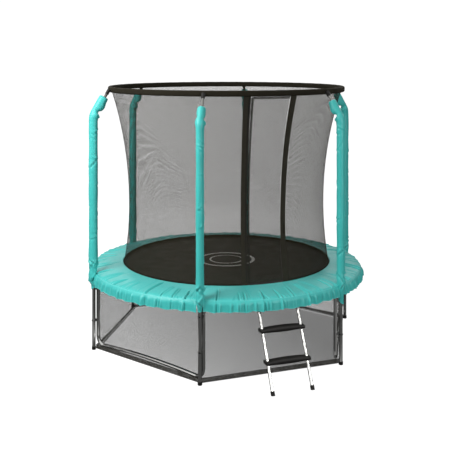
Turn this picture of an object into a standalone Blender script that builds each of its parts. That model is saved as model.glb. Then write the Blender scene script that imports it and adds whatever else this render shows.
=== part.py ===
"""Round garden trampoline with an inner safety net, a net door, a spring pad and a hook-on ladder.

Frame: metres, +Z up, origin on the floor at the middle of the whole footprint, ladder included.
Everything is first modelled about the trampoline's own centre line and then moved there.
The door and the ladder face -Y. An azimuth is counted about the centre line from -Y towards +X,
so azimuth 0 is the front and 90 degrees is +X.
"""
import math

import bmesh
import bpy
from mathutils import Matrix, Vector

# ---------------------------------------------------------------- driving dimensions
FRAME_RADIUS = 1.200          # centre line of the top rail
FRAME_HEIGHT = 0.635
FRAME_TUBE = 0.019            # tube radii
LEG_TUBE = 0.016
POLE_CIRCLE = 1.242           # centre line of the net poles
POLE_TUBE_LOWER = 0.0155
POLE_TUBE_UPPER = 0.0125
POLE_LEAN = math.radians(31)  # inward lean above the bend
POLE_BEND_HEIGHT = 2.053
POLE_BEND_RADIUS = 0.12
POLE_TOP_HEIGHT = 2.270
POLE_JOINT_HEIGHT = 1.300
HOOP_RADIUS = 1.072
HOOP_HEIGHT = 2.278
HOOP_TUBE = 0.0125
BAND_BOTTOM = 2.255
BAND_TOP = 2.300
BAND_HALF_WIDTH = 0.0195
MAT_RADIUS = 0.972
MAT_TOP = 0.688
MAT_THICKNESS = 0.004
NET_WAIST_RADIUS = 0.8978     # the net's side is one circular arc, bulging inwards
NET_WAIST_HEIGHT = 1.241
NET_ARC_RADIUS = 3.302
NET_THICKNESS = 0.003
NET_BOTTOM = 0.6888
NET_TOP = 2.2545
NET_ROWS = 8
DOOR_EDGE = math.radians(11.25)
STRAP_HALF = math.radians(1.6)
STRAP_THICKNESS = 0.002
SPRINGS = 48
SPRING_BANKS = 3
LADDER_HALF_WIDTH = 0.167
LADDER_FOOT_OUT = 1.468       # distance of the feet from the centre
LADDER_TUBE = 0.0125
GAP = 0.0003                  # between pieces that touch
STEP_COUNT = 36               # facets of a full turn
CAP_STEPS = 10                # facets of a small cap

POLE_PLACES = {
    "front_right": 30, "right": 90, "back_right": 150,
    "back_left": 210, "left": 270, "front_left": 330,
}
LEG_PAIRS = {"right": (30, 90), "back": (150, 210), "left": (270, 330)}


# ---------------------------------------------------------------- small helpers
def clear_scene():
    for old in list(bpy.data.objects):
        bpy.data.objects.remove(old, do_unlink=True)


def new_collection(name):
    group = bpy.data.collections.new(name)
    bpy.context.scene.collection.children.link(group)
    return group


def make_material(name, colour, roughness, metallic=0.0):
    material = bpy.data.materials.new(name)
    material.use_nodes = True
    shader = material.node_tree.nodes["Principled BSDF"]
    shader.inputs["Base Color"].default_value = (*colour, 1.0)
    shader.inputs["Roughness"].default_value = roughness
    shader.inputs["Metallic"].default_value = metallic
    return material


def on_ring(radius, azimuth, height):
    return Vector((radius * math.sin(azimuth), -radius * math.cos(azimuth), height))


def add_part(name, mesh, material, azimuth=0.0):
    """Put a mesh in the parts collection, turned to an azimuth about the centre."""
    part = bpy.data.objects.new(name, mesh)
    part.rotation_euler.z = azimuth
    mesh.name = name
    if not mesh.materials:
        mesh.materials.append(material)
    PARTS.objects.link(part)
    return part


def add_copies(stem, places, mesh, material):
    for place, degrees in places.items():
        add_part(f"{stem}_{place}", mesh, material, math.radians(degrees))


def temporary(mesh, name="shape"):
    piece = bpy.data.objects.new(name, mesh)
    piece.hide_render = True
    piece.display_type = 'WIRE'
    CUTTERS.objects.link(piece)
    return piece


def evaluated_mesh(piece):
    """The mesh of a piece with its modifiers applied; the piece itself is removed."""
    bpy.context.view_layer.update()
    graph = bpy.context.evaluated_depsgraph_get()
    mesh = bpy.data.meshes.new_from_object(piece.evaluated_get(graph))
    mesh.transform(piece.matrix_world)
    bpy.data.objects.remove(piece, do_unlink=True)
    weld(mesh)
    return mesh


def weld(mesh):
    work = bmesh.new()
    work.from_mesh(mesh)
    bmesh.ops.remove_doubles(work, verts=work.verts, dist=0.00005)
    bmesh.ops.recalc_face_normals(work, faces=work.faces)
    work.to_mesh(mesh)
    work.free()
    mesh.shade_smooth()
    mesh.set_sharp_from_angle(angle=math.radians(40))


def boolean(mesh, tools, operation):
    """One mesh cut by, or joined with, the tool meshes."""
    target = temporary(mesh, "target")
    cutters = [temporary(tool, "cutter") for tool in tools]
    for cutter in cutters:
        modifier = target.modifiers.new("cut", 'BOOLEAN')
        modifier.operation = operation
        modifier.object = cutter
    result = evaluated_mesh(target)
    for cutter in cutters:
        bpy.data.objects.remove(cutter, do_unlink=True)
    return result


def tube(points, radius, resolution=3, scales=None):
    """A round rod through the points, as a closed mesh with filled ends."""
    curve = bpy.data.curves.new("tube", 'CURVE')
    curve.dimensions = '3D'
    curve.bevel_depth = radius
    curve.bevel_resolution = resolution
    curve.use_fill_caps = True
    spline = curve.splines.new('POLY')
    spline.points.add(len(points) - 1)
    for index, point in enumerate(points):
        spline.points[index].co = (*point, 1.0)
        spline.points[index].radius = scales[index] if scales else 1.0
    return evaluated_mesh(temporary(curve))


def cylinder(radius, start, end, sides=12):
    """A cylinder between two points."""
    start = Vector(start)
    along = Vector(end) - start
    work = bmesh.new()
    bmesh.ops.create_cone(work, cap_ends=True, segments=sides, radius1=radius, radius2=radius,
                          depth=along.length)
    turn = along.to_track_quat('Z', 'Y').to_matrix().to_4x4()
    bmesh.ops.transform(work, verts=work.verts, matrix=Matrix.Translation(start + along / 2) @ turn)
    mesh = bpy.data.meshes.new("cylinder")
    work.to_mesh(mesh)
    work.free()
    weld(mesh)
    return mesh


def box(low, high, bevel=0.0):
    """A box between two corners, with rounded edges where a bevel is given."""
    low = Vector(low)
    high = Vector(high)
    work = bmesh.new()
    bmesh.ops.create_cube(work, size=1.0)
    bmesh.ops.scale(work, vec=high - low, verts=work.verts)
    bmesh.ops.translate(work, vec=(low + high) / 2, verts=work.verts)
    mesh = bpy.data.meshes.new("box")
    work.to_mesh(mesh)
    work.free()
    if not bevel:
        return mesh
    piece = temporary(mesh)
    rounding = piece.modifiers.new("rounding", 'BEVEL')
    rounding.width = bevel
    rounding.segments = 2
    return evaluated_mesh(piece)


def turned(profile, sweep=2 * math.pi, start=0.0, steps=STEP_COUNT, closed=True, thickness=0.0):
    """A profile of (radius, height) points turned about Z from a start azimuth.

    A closed profile gives a ring; an open one gives a sheet, which the thickness makes solid.
    """
    mesh = bpy.data.meshes.new("profile")
    edges = [(i, i + 1) for i in range(len(profile) - 1)]
    if closed:
        edges.append((len(profile) - 1, 0))
    mesh.from_pydata([(radius, 0.0, height) for radius, height in profile], edges, [])
    piece = temporary(mesh)
    screw = piece.modifiers.new("turn", 'SCREW')
    screw.angle = sweep
    screw.steps = steps
    screw.render_steps = steps
    screw.use_merge_vertices = sweep > 6.28
    screw.merge_threshold = 0.00005
    if thickness:
        shell = piece.modifiers.new("shell", 'SOLIDIFY')
        shell.thickness = thickness
        shell.offset = 0.0
    piece.rotation_euler.z = start - math.pi / 2
    return evaluated_mesh(piece)


def flat_plate(outlines, thickness):
    """A closed outline in the XY plane, extruded to a thickness about z = 0."""
    curve = bpy.data.curves.new("plate", 'CURVE')
    curve.dimensions = '2D'
    curve.fill_mode = 'BOTH'
    curve.extrude = thickness / 2
    for outline in outlines:
        spline = curve.splines.new('POLY')
        spline.points.add(len(outline) - 1)
        for index, (x, y) in enumerate(outline):
            spline.points[index].co = (x, y, 0.0, 1.0)
        spline.use_cyclic_u = True
    return evaluated_mesh(temporary(curve))


def arc_points(centre_x, centre_y, radius, first, last, count):
    """Points of an arc, by angle in degrees from +X."""
    points = []
    for index in range(count + 1):
        angle = math.radians(first + (last - first) * index / count)
        points.append((centre_x + radius * math.cos(angle), centre_y + radius * math.sin(angle)))
    return points


# ---------------------------------------------------------------- frame and legs
RAIL_END_GAP = 0.0024         # the ends are square to a chord, so they need more than GAP
RAIL_OVERHANG = math.radians(5)   # each rail starts this far before its socket
SOCKET_BOTTOM = FRAME_HEIGHT - 0.080
SOCKET_RADIUS = FRAME_TUBE - 0.0006
SADDLE_HEIGHTS = (0.257, 0.535)
SADDLE_SIZE = 0.024
BASE_BAR_HEIGHT = 0.041
BASE_BAR_ARCH = 0.018         # rise of the bar's middle above its ends
LEG_BEND_RADIUS = 0.07
LEG_SHIFT = math.radians(0.9)     # from a pole to its leg's upright, away from the leg's middle


def frame_rail(socket_azimuth):
    """One sixth of the top rail, with a leg socket welded on near azimuth 0."""
    sweep = math.radians(60) - RAIL_END_GAP / FRAME_RADIUS
    segments = 12
    points = []
    for index in range(segments + 1):
        azimuth = sweep * index / segments - RAIL_OVERHANG
        points.append(on_ring(FRAME_RADIUS, azimuth, FRAME_HEIGHT))
    rail = tube(points, FRAME_TUBE)
    socket = cylinder(SOCKET_RADIUS, on_ring(FRAME_RADIUS, socket_azimuth, FRAME_HEIGHT),
                      on_ring(FRAME_RADIUS, socket_azimuth, SOCKET_BOTTOM))
    return boolean(rail, [socket], 'UNION')


def leg_saddle(leg, pole, height):
    """The short welded block between a leg's upright and the pole beside it."""
    toward_pole = (pole - leg).normalized()
    start = leg + toward_pole * (LEG_TUBE / 2)
    end = pole - toward_pole * (POLE_TUBE_LOWER + GAP)
    half = SADDLE_SIZE / 2
    length = (end - start).length
    saddle = box((-half, 0, -half), (half, length, half))
    turn = toward_pole.to_track_quat('Y', 'Z').to_matrix().to_4x4()
    saddle.transform(Matrix.Translation((start.x, start.y, height)) @ turn)
    return saddle


def u_leg(first, second):
    """Two uprights and the arched bar near the floor, bent from one tube, with four pole saddles."""
    places = ((math.radians(first), -LEG_SHIFT), (math.radians(second), LEG_SHIFT))
    feet = [on_ring(FRAME_RADIUS, azimuth + shift, 0) for azimuth, shift in places]
    across = (feet[1] - feet[0]).normalized()
    middle = (feet[0] + feet[1]) / 2
    half_span = (feet[1] - feet[0]).length / 2
    bend = LEG_BEND_RADIUS
    bar_half = half_span - bend
    outline = [(-half_span, SOCKET_BOTTOM - GAP)]
    outline += arc_points(-bar_half, BASE_BAR_HEIGHT + bend, bend, 180, 270, 4)
    for share in (-0.75, -0.5, -0.25, 0, 0.25, 0.5, 0.75):
        outline.append((share * bar_half, BASE_BAR_HEIGHT + BASE_BAR_ARCH * (1 - share ** 2)))
    outline += arc_points(bar_half, BASE_BAR_HEIGHT + bend, bend, 270, 360, 4)
    outline += [(half_span, SOCKET_BOTTOM - GAP)]
    leg = tube([middle + across * along + Vector((0, 0, height)) for along, height in outline],
               LEG_TUBE)
    saddles = []
    for (azimuth, _), foot in zip(places, feet):
        for height in SADDLE_HEIGHTS:
            saddles.append(leg_saddle(foot, on_ring(POLE_CIRCLE, azimuth, 0), height))
    return boolean(leg, saddles, 'UNION')


# ---------------------------------------------------------------- net poles
FOOT_FLOOR = 0.004
FOOT_CAP_TOP = 0.028
FOOT_CAP_RADIUS = 0.0188
TOP_CAP_RADIUS = 0.0165
TOP_CAP_LENGTH = 0.046
TOP_CAP_CROWN = 0.012         # solid end of the cap above the pole
CAP_PLAY = 0.0008             # between a cap's bore and the tube in it
SLEEVE_BOTTOM = 0.585
SLEEVE_TOP = 2.213
SLEEVE_RADIUS = 0.031
SLEEVE_BORE = 0.0175
SLEEVE_NECK_HEIGHT = 0.715    # below this only the thin cover is left, beside the rail
SLEEVE_NECK_RADIUS = 0.0205
SLEEVE_NECK_STEP = 0.02       # height over which the foam ends


def pole_path(bottom, top, bend_steps=4):
    """Centre line of a pole at azimuth 0: upright, then a bend, then leaning in to the hoop."""
    tangent = POLE_BEND_RADIUS * math.tan(POLE_LEAN / 2)
    points = [on_ring(POLE_CIRCLE, 0, bottom)]
    for index in range(bend_steps + 1):
        angle = POLE_LEAN * index / bend_steps
        inset = POLE_BEND_RADIUS * (1 - math.cos(angle))
        height = POLE_BEND_HEIGHT - tangent + POLE_BEND_RADIUS * math.sin(angle)
        points.append(on_ring(POLE_CIRCLE - inset, 0, height))
    inset = (top - POLE_BEND_HEIGHT) * math.tan(POLE_LEAN)
    points.append(on_ring(POLE_CIRCLE - inset, 0, top))
    return points


def pole_lower():
    return cylinder(POLE_TUBE_LOWER, on_ring(POLE_CIRCLE, 0, FOOT_FLOOR + GAP),
                    on_ring(POLE_CIRCLE, 0, POLE_JOINT_HEIGHT))


def pole_upper():
    return tube(pole_path(POLE_JOINT_HEIGHT + GAP, POLE_TOP_HEIGHT), POLE_TUBE_UPPER)


def cup(radius, bore, height, floor, rim=0.0015):
    """A turned cap standing on z = 0, with a blind bore from the top."""
    profile = [
        (0.0, floor), (bore, floor), (bore, height), (radius - rim, height),
        (radius, height - rim), (radius, rim), (radius - rim, 0.0), (0.0, 0.0),
    ]
    return turned(profile, steps=CAP_STEPS, closed=False)


def pole_foot_cap():
    cap = cup(FOOT_CAP_RADIUS, POLE_TUBE_LOWER + CAP_PLAY, FOOT_CAP_TOP, FOOT_FLOOR)
    cap.transform(Matrix.Translation(on_ring(POLE_CIRCLE, 0, 0)))
    return cap


def pole_top_cap():
    """The black end cap over a pole's top, which holds the hoop band."""
    cap = cup(TOP_CAP_RADIUS, POLE_TUBE_UPPER + CAP_PLAY, TOP_CAP_LENGTH, TOP_CAP_CROWN)
    top = pole_path(POLE_JOINT_HEIGHT, POLE_TOP_HEIGHT)[-1]
    down_the_pole = on_ring(math.sin(POLE_LEAN), 0, -math.cos(POLE_LEAN))
    turn = down_the_pole.to_track_quat('Z', 'Y').to_matrix().to_4x4()
    cap.transform(Matrix.Translation(top - down_the_pole * (TOP_CAP_CROWN + GAP)) @ turn)
    return cap


def pole_sleeve():
    """The foam sleeve around a pole."""
    neck = SLEEVE_NECK_RADIUS / SLEEVE_RADIUS
    path = pole_path(SLEEVE_BOTTOM, SLEEVE_TOP)
    path[1:1] = [on_ring(POLE_CIRCLE, 0, SLEEVE_NECK_HEIGHT - SLEEVE_NECK_STEP),
                 on_ring(POLE_CIRCLE, 0, SLEEVE_NECK_HEIGHT)]
    scales = [neck, neck] + [1.0] * (len(path) - 2)
    foam = tube(path, SLEEVE_RADIUS, scales=scales)
    bore = tube(pole_path(SLEEVE_BOTTOM - 0.01, SLEEVE_TOP + 0.01), SLEEVE_BORE)
    return boolean(foam, [bore], 'DIFFERENCE')


# ---------------------------------------------------------------- hoop, band and net
BAND_CLOTH = 0.003
NET_EDGE = DOOR_EDGE + math.radians(0.15)
DOOR_TOP = 2.2495
DOOR_BOTTOM = 0.715
DOOR_FREE_EDGE = DOOR_EDGE - STRAP_HALF - math.radians(0.65)
DOOR_HINGE_EDGE = DOOR_EDGE - STRAP_HALF - math.radians(0.25)
DOOR_AXIS_RADIUS = 1.100      # the upright line that stands in for the door's sewn edge
DOOR_AXIS_AZIMUTH = DOOR_EDGE - STRAP_HALF
STRAP_OFFSET = NET_THICKNESS / 2 + 0.0006 + STRAP_THICKNESS / 2
ZIP_AZIMUTH = -(DOOR_EDGE - math.radians(0.95))
ZIP_HEIGHT = 2.170
ZIP_OFFSET = STRAP_OFFSET + STRAP_THICKNESS / 2 + 0.0022


def net_radius(height, offset=0.0):
    """Radius of the net at a height; a positive offset lies outside the net."""
    reach = NET_ARC_RADIUS - offset
    drop = height - NET_WAIST_HEIGHT
    return NET_WAIST_RADIUS + NET_ARC_RADIUS - math.sqrt(reach ** 2 - drop ** 2)


def net_profile(bottom, top, offset=0.0):
    heights = [bottom + (top - bottom) * row / NET_ROWS for row in range(NET_ROWS + 1)]
    return [(net_radius(height, offset), height) for height in heights]


def net_sheet(bottom, top, first, last, steps, thickness, offset=0.0):
    return turned(net_profile(bottom, top, offset), sweep=last - first, start=first, steps=steps,
                  closed=False, thickness=thickness)


def top_hoop():
    section = arc_points(HOOP_RADIUS, HOOP_HEIGHT, HOOP_TUBE, 0, 360, 8)[:-1]
    return turned(section)


def top_band():
    """The fabric channel over the hoop, open below."""
    outer = HOOP_RADIUS + BAND_HALF_WIDTH
    inner = HOOP_RADIUS - BAND_HALF_WIDTH
    cloth = BAND_CLOTH
    section = [
        (outer, BAND_BOTTOM), (outer, BAND_TOP - cloth), (outer - cloth, BAND_TOP),
        (inner + cloth, BAND_TOP), (inner, BAND_TOP - cloth), (inner, BAND_BOTTOM),
        (inner + cloth, BAND_BOTTOM), (inner + cloth, BAND_TOP - cloth),
        (outer - cloth, BAND_TOP - cloth), (outer - cloth, BAND_BOTTOM),
    ]
    return turned(section)


def safety_net():
    return net_sheet(NET_BOTTOM, NET_TOP, NET_EDGE, 2 * math.pi - NET_EDGE, 36, NET_THICKNESS)


def net_door():
    return net_sheet(DOOR_BOTTOM, DOOR_TOP, -DOOR_FREE_EDGE, DOOR_HINGE_EDGE, 4, NET_THICKNESS)


def door_strap(azimuth):
    return net_sheet(NET_BOTTOM + 0.011, NET_TOP - 0.001, azimuth - STRAP_HALF,
                     azimuth + STRAP_HALF, 2, STRAP_THICKNESS, STRAP_OFFSET)


def zip_slider():
    """The slider and its pull tab, in the strap's radial plane."""
    body = box((-0.006, -0.006, -0.011), (0.006, 0.0, 0.011), 0.0012)
    tab = box((-0.004, -0.0055, -0.044), (0.004, -0.003, -0.004))
    slider = boolean(body, [tab], 'UNION')
    reach = NET_ARC_RADIUS - ZIP_OFFSET
    slope = math.asin((ZIP_HEIGHT - NET_WAIST_HEIGHT) / reach)
    place = Matrix.Translation(on_ring(net_radius(ZIP_HEIGHT, ZIP_OFFSET), 0, ZIP_HEIGHT))
    slider.transform(place @ Matrix.Rotation(slope, 4, 'X'))
    slider.transform(Matrix.Rotation(ZIP_AZIMUTH, 4, 'Z'))
    return slider


# ---------------------------------------------------------------- mat, springs and pad
SPRING_PLANE = 0.655
SPRING_BAR = 0.012            # a spring's solid stands in for its coil
SPRING_OUTER = 1.178
SPRING_INNER = 1.012
SPRING_STRIP = 1.000          # inner edge of the strip of rings
PAD_INNER = 0.952
PAD_SKIRT_BOTTOM = 0.578
PAD_SKIRT_RADIUS = 1.2425
PAD_SKIRT_THICKNESS = 0.004
PAD_POLE_NOTCH = 0.023        # radius of the notch round a pole
LADDER_NOTCH_TOP = 0.6455
LADDER_NOTCH_HALF = LADDER_HALF_WIDTH + 0.035


def jumping_mat():
    return cylinder(MAT_RADIUS, (0, 0, MAT_TOP - MAT_THICKNESS), (0, 0, MAT_TOP), sides=STEP_COUNT)


def spring_bank():
    """Sixteen springs on their shared strip of rings at the mat's edge, from azimuth 0 on."""
    count = SPRINGS // SPRING_BANKS
    pitch = 2 * math.pi / SPRINGS
    outer_side = []
    inner_side = []
    corners = ((-1, SPRING_INNER), (-1, SPRING_OUTER), (1, SPRING_OUTER), (1, SPRING_INNER))
    for index in range(count):
        azimuth = (index + 0.5) * pitch
        for side, radius in corners:
            point = on_ring(radius, azimuth + side * SPRING_BAR / 2 / radius, 0)
            outer_side.append((point.x, point.y))
        for edge in (-0.25, 0.25):
            point = on_ring(SPRING_STRIP, azimuth + edge * pitch, 0)
            inner_side.append((point.x, point.y))
    bank = flat_plate([outer_side + inner_side[::-1]], SPRING_BAR)
    bank.transform(Matrix.Translation((0, 0, SPRING_PLANE)))
    return bank


def spring_pad():
    """The padded ring over the springs, with its hanging edge and a notch at each pole."""
    skirt_inside = PAD_SKIRT_RADIUS - PAD_SKIRT_THICKNESS
    section = [
        (PAD_INNER, 0.6905), (PAD_INNER, 0.7015), (1.06, 0.6930),
        (1.17, 0.6785), (1.205, 0.6735), (1.232, 0.6600), (PAD_SKIRT_RADIUS, 0.6330),
        (PAD_SKIRT_RADIUS, PAD_SKIRT_BOTTOM), (skirt_inside, PAD_SKIRT_BOTTOM),
        (skirt_inside, 0.6320), (1.228, 0.6545), (1.203, 0.6650), (1.17, 0.6670),
        (0.980, 0.6900),
    ]
    pad = turned(section)
    below = PAD_SKIRT_BOTTOM - 0.03
    above = MAT_TOP + 0.03
    notches = []
    for degrees in POLE_PLACES.values():
        azimuth = math.radians(degrees)
        notches.append(cylinder(PAD_POLE_NOTCH, on_ring(POLE_CIRCLE, azimuth, below),
                                on_ring(POLE_CIRCLE, azimuth, above)))
    notches.append(box((-LADDER_NOTCH_HALF, -PAD_SKIRT_RADIUS - 0.05, below),
                       (LADDER_NOTCH_HALF, -PAD_SKIRT_RADIUS + 0.14, LADDER_NOTCH_TOP)))
    return boolean(pad, notches, 'DIFFERENCE')


# ---------------------------------------------------------------- lower net
LOWER_NET_TOP = 0.580
LOWER_NET_CORNER = 1.1670     # inside the legs' uprights and bars
LOWER_NET_BULGE = 1.130       # distance of a bay's top edge from the centre
LOWER_NET_FLOOR = 0.008       # under the leg bars
LOWER_NET_STRAIGHT = 0.088    # upright and flat to here, past the leg bars
LOWER_HEM_CORNER = 1.2215     # between the legs' uprights and the poles
LOWER_HEM_TOP = 0.046
LOWER_NET_THICKNESS = 0.002


def lower_net():
    """The net between the legs. It passes under the leg bars and its hem is turned up outside them.

    In plan it is a hexagon at the floor and rounder at the top.
    """
    bays = len(POLE_PLACES)
    bay_sweep = 2 * math.pi / bays
    per_bay = 6
    columns = bays * per_bay
    middle = (LOWER_NET_STRAIGHT + LOWER_NET_TOP) / 2
    rows = [
        (LOWER_HEM_CORNER, LOWER_HEM_TOP, 0.0), (LOWER_HEM_CORNER, LOWER_NET_FLOOR, 0.0),
        (LOWER_NET_CORNER, LOWER_NET_FLOOR, 0.0), (LOWER_NET_CORNER, LOWER_NET_STRAIGHT, 0.0),
        (LOWER_NET_CORNER, middle, 0.5), (LOWER_NET_CORNER, LOWER_NET_TOP, 1.0),
    ]
    work = bmesh.new()
    grid = []
    # each row: corner radius, height and how far the bays have rounded out
    for corner, height, share in rows:
        ring = []
        for column in range(columns):
            local = ((column % per_bay) / per_bay - 0.5) * bay_sweep
            azimuth = bay_sweep * (column // per_bay) + local
            flat = corner * math.cos(bay_sweep / 2) / math.cos(local)
            top = corner + (LOWER_NET_BULGE - corner) * math.cos(bays / 2 * local)
            radius = flat + (top - flat) * share
            ring.append(work.verts.new(on_ring(radius, azimuth, height)))
        grid.append(ring)
    for lower, upper in zip(grid, grid[1:]):
        for column in range(columns):
            after = (column + 1) % columns
            work.faces.new((lower[column], lower[after], upper[after], upper[column]))
    mesh = bpy.data.meshes.new("lower_net")
    work.to_mesh(mesh)
    work.free()
    sheet = temporary(mesh)
    shell = sheet.modifiers.new("shell", 'SOLIDIFY')
    shell.thickness = LOWER_NET_THICKNESS
    shell.offset = 0.0
    shell.use_even_offset = True
    return evaluated_mesh(sheet)


# ---------------------------------------------------------------- ladder
RAIL_TOP_HEIGHT = 0.588
RAIL_LEAN = 0.4945            # outward run for each metre of drop
HINGE_OUT = math.sqrt(FRAME_RADIUS ** 2 - LADDER_HALF_WIDTH ** 2)
LADDER_CLEARANCE = 0.002      # the feet hang this far above the floor
FOOT_SOLE = 0.010             # a foot cap's thickness under the rail, before the flat cut
FOOT_DROP = 0.0045            # how far the cap starts below the floor line, measured along the rail
STEP_HEIGHTS = {"lower": 0.215, "upper": 0.430}
STEP_SIZE = (0.372, 0.080, 0.030)
HOOK_INNER = FRAME_TUBE + 0.0036
HOOK_OUTER = HOOK_INNER + 0.0040
HOOK_WIDTH = 0.018
HOOK_NECK_HALF = 0.009        # half the neck's width where it meets the rail
HOOK_OVERLAP = 0.02           # length of neck welded along the rail
FOOT_CAP_LENGTH = 0.036
FOOT_RADIUS = 0.0165
STEP_PLAY = 0.0006            # between a step's bores and the rails
STEP_ROUNDING = 0.006


def rail_out(height):
    """Distance of the rails' centre line from the middle at a height."""
    return LADDER_FOOT_OUT - RAIL_LEAN * height


def ladder_rail(side):
    """A straight tube with the flat steel hook that hangs over the top rail."""
    x = side * LADDER_HALF_WIDTH
    bottom = LADDER_CLEARANCE + (FOOT_SOLE - FOOT_DROP + GAP) * math.cos(math.atan(RAIL_LEAN))
    rail = tube([(x, -rail_out(bottom), bottom), (x, -rail_out(RAIL_TOP_HEIGHT), RAIL_TOP_HEIGHT)],
                LADDER_TUBE)
    neck_out = rail_out(RAIL_TOP_HEIGHT) - HINGE_OUT
    neck_foot = RAIL_TOP_HEIGHT - HOOK_OVERLAP - FRAME_HEIGHT
    outline = arc_points(0, 0, HOOK_OUTER, 50, 235, 10)
    outline += [(neck_out - HOOK_NECK_HALF, neck_foot), (neck_out + HOOK_NECK_HALF, neck_foot)]
    outline += arc_points(0, 0, HOOK_INNER, 262, 50, 12)
    hook = flat_plate([outline], HOOK_WIDTH)
    # the outline's x is the way out (-Y) and its y is up
    hook.transform(Matrix(((0, 0, 1, x), (-1, 0, 0, -HINGE_OUT), (0, 1, 0, FRAME_HEIGHT), (0, 0, 0, 1))))
    weld(hook)
    return boolean(rail, [hook], 'UNION')


def ladder_step(height):
    """A moulded tread that wraps both rails."""
    out = rail_out(height)
    width, depth, thickness = STEP_SIZE
    tread = box((-width / 2, -out - depth / 2, height - thickness / 2),
                (width / 2, -out + depth / 2, height + thickness / 2), STEP_ROUNDING)
    low = height - thickness
    high = height + thickness
    bores = []
    for side in (-1, 1):
        x = side * LADDER_HALF_WIDTH
        bores.append(tube([(x, -rail_out(low), low), (x, -rail_out(high), high)],
                          LADDER_TUBE + STEP_PLAY))
    return boolean(tread, bores, 'DIFFERENCE')


def ladder_foot(side):
    """The black cap on a rail's foot, cut flat where it stands on the floor."""
    lean = math.atan(RAIL_LEAN)
    cap = cup(FOOT_RADIUS, LADDER_TUBE + CAP_PLAY, FOOT_CAP_LENGTH, FOOT_SOLE)
    foot = Vector((side * LADDER_HALF_WIDTH, -rail_out(LADDER_CLEARANCE), LADDER_CLEARANCE))
    cap.transform(Matrix.Translation(foot) @ Matrix.Rotation(-lean, 4, 'X')
                  @ Matrix.Translation((0, 0, -FOOT_DROP)))
    around = Vector((0.05, 0.05, 0.05))
    below = box(foot - around, (foot.x + around.x, foot.y + around.y, LADDER_CLEARANCE))
    return boolean(cap, [below], 'DIFFERENCE')


# ---------------------------------------------------------------- assembly
def parent_to_empty(empty_name, location, children):
    """Parent objects to a new empty without moving them."""
    empty = bpy.data.objects.new(empty_name, None)
    empty.location = location
    PARTS.objects.link(empty)
    bpy.context.view_layer.update()
    for child in children:
        child.parent = empty
        child.matrix_parent_inverse = empty.matrix_world.inverted()
    return empty


def hang_on_axis(axis_name, location, part_names):
    """Parent the pieces of a moving body to an empty on its joint's axis."""
    parent_to_empty(axis_name, location, [bpy.data.objects[name] for name in part_names])


def move_to_footprint_middle():
    """Move the whole object so that the origin is in the middle of its footprint."""
    loose = [part for part in PARTS.objects if part.parent is None]
    centre_line = parent_to_empty("centre_line", (0, 0, 0), loose)
    reach = [(part.matrix_world @ vertex.co).y
             for part in PARTS.objects if part.type == 'MESH' for vertex in part.data.vertices]
    centre_line.location.y = -(min(reach) + max(reach)) / 2
    bpy.context.view_layer.update()


def build():
    steel = make_material("galvanised_steel", (0.33, 0.34, 0.35), 0.32, 0.9)
    bright = make_material("bright_steel", (0.75, 0.76, 0.77), 0.18, 1.0)
    black_plastic = make_material("black_plastic", (0.015, 0.014, 0.013), 0.45)
    turquoise = make_material("turquoise_cover", (0.06, 0.62, 0.55), 0.35)
    webbing = make_material("black_webbing", (0.02, 0.018, 0.016), 0.8)
    net = make_material("black_net", (0.05, 0.05, 0.05), 0.8)
    mat = make_material("woven_mat", (0.03, 0.027, 0.025), 0.7)

    add_copies("frame_rail", {"front_right": 30, "back": 150, "front_left": 270},
               frame_rail(-LEG_SHIFT), steel)
    add_copies("frame_rail", {"back_right": 90, "back_left": 210, "front": 330},
               frame_rail(LEG_SHIFT), steel)
    for side, (first, second) in LEG_PAIRS.items():
        add_part(f"u_leg_{side}", u_leg(first, second), steel)
    add_copies("pole_lower", POLE_PLACES, pole_lower(), steel)
    add_copies("pole_upper", POLE_PLACES, pole_upper(), steel)
    add_copies("pole_foot_cap", POLE_PLACES, pole_foot_cap(), black_plastic)
    add_copies("pole_top_cap", POLE_PLACES, pole_top_cap(), black_plastic)
    add_copies("pole_sleeve", POLE_PLACES, pole_sleeve(), turquoise)
    add_part("top_hoop", top_hoop(), steel)
    add_part("hoop_band", top_band(), webbing)
    add_part("safety_net", safety_net(), net)
    add_part("door_strap_left", door_strap(-DOOR_EDGE), webbing)
    add_part("door_strap_right", door_strap(DOOR_EDGE), webbing)
    add_part("net_door", net_door(), net)
    add_part("zip_slider", zip_slider(), black_plastic)
    add_part("jumping_mat", jumping_mat(), mat)
    bank_places = {"right": 0, "back": 120, "left": 240}
    add_copies("spring_bank", bank_places, spring_bank(), steel)
    add_part("spring_pad", spring_pad(), turquoise)
    add_part("lower_net", lower_net(), net)
    ladder = []
    for name, side in (("left", -1), ("right", 1)):
        ladder.append(add_part(f"ladder_rail_{name}", ladder_rail(side), bright).name)
        ladder.append(add_part(f"ladder_foot_{name}", ladder_foot(side), black_plastic).name)
    for name, height in STEP_HEIGHTS.items():
        ladder.append(add_part(f"ladder_step_{name}", ladder_step(height), black_plastic).name)

    zip_reach = NET_WAIST_RADIUS + NET_ARC_RADIUS
    hang_on_axis("mat_bounce_axis", (0, 0, MAT_TOP), ["jumping_mat"])
    hang_on_axis("ladder_swing_axis", (0, -HINGE_OUT, FRAME_HEIGHT), ladder)
    door_axis = on_ring(DOOR_AXIS_RADIUS, DOOR_AXIS_AZIMUTH, (DOOR_TOP + DOOR_BOTTOM) / 2)
    hang_on_axis("door_swing_axis", door_axis, ["net_door"])
    hang_on_axis("zip_slide_axis", on_ring(zip_reach, ZIP_AZIMUTH, NET_WAIST_HEIGHT), ["zip_slider"])
    move_to_footprint_middle()


clear_scene()
PARTS = new_collection("trampoline")
CUTTERS = new_collection("cutters")
build()
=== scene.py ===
"""Looks of a round garden trampoline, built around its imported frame.

Lengths are metres in the frame's axes: +Z up, the ladder towards -Y. An azimuth is counted about the
trampoline's centre line from -Y towards +X, and "out" is the distance from that line.
"""
import math
import random
from collections import namedtuple

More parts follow.
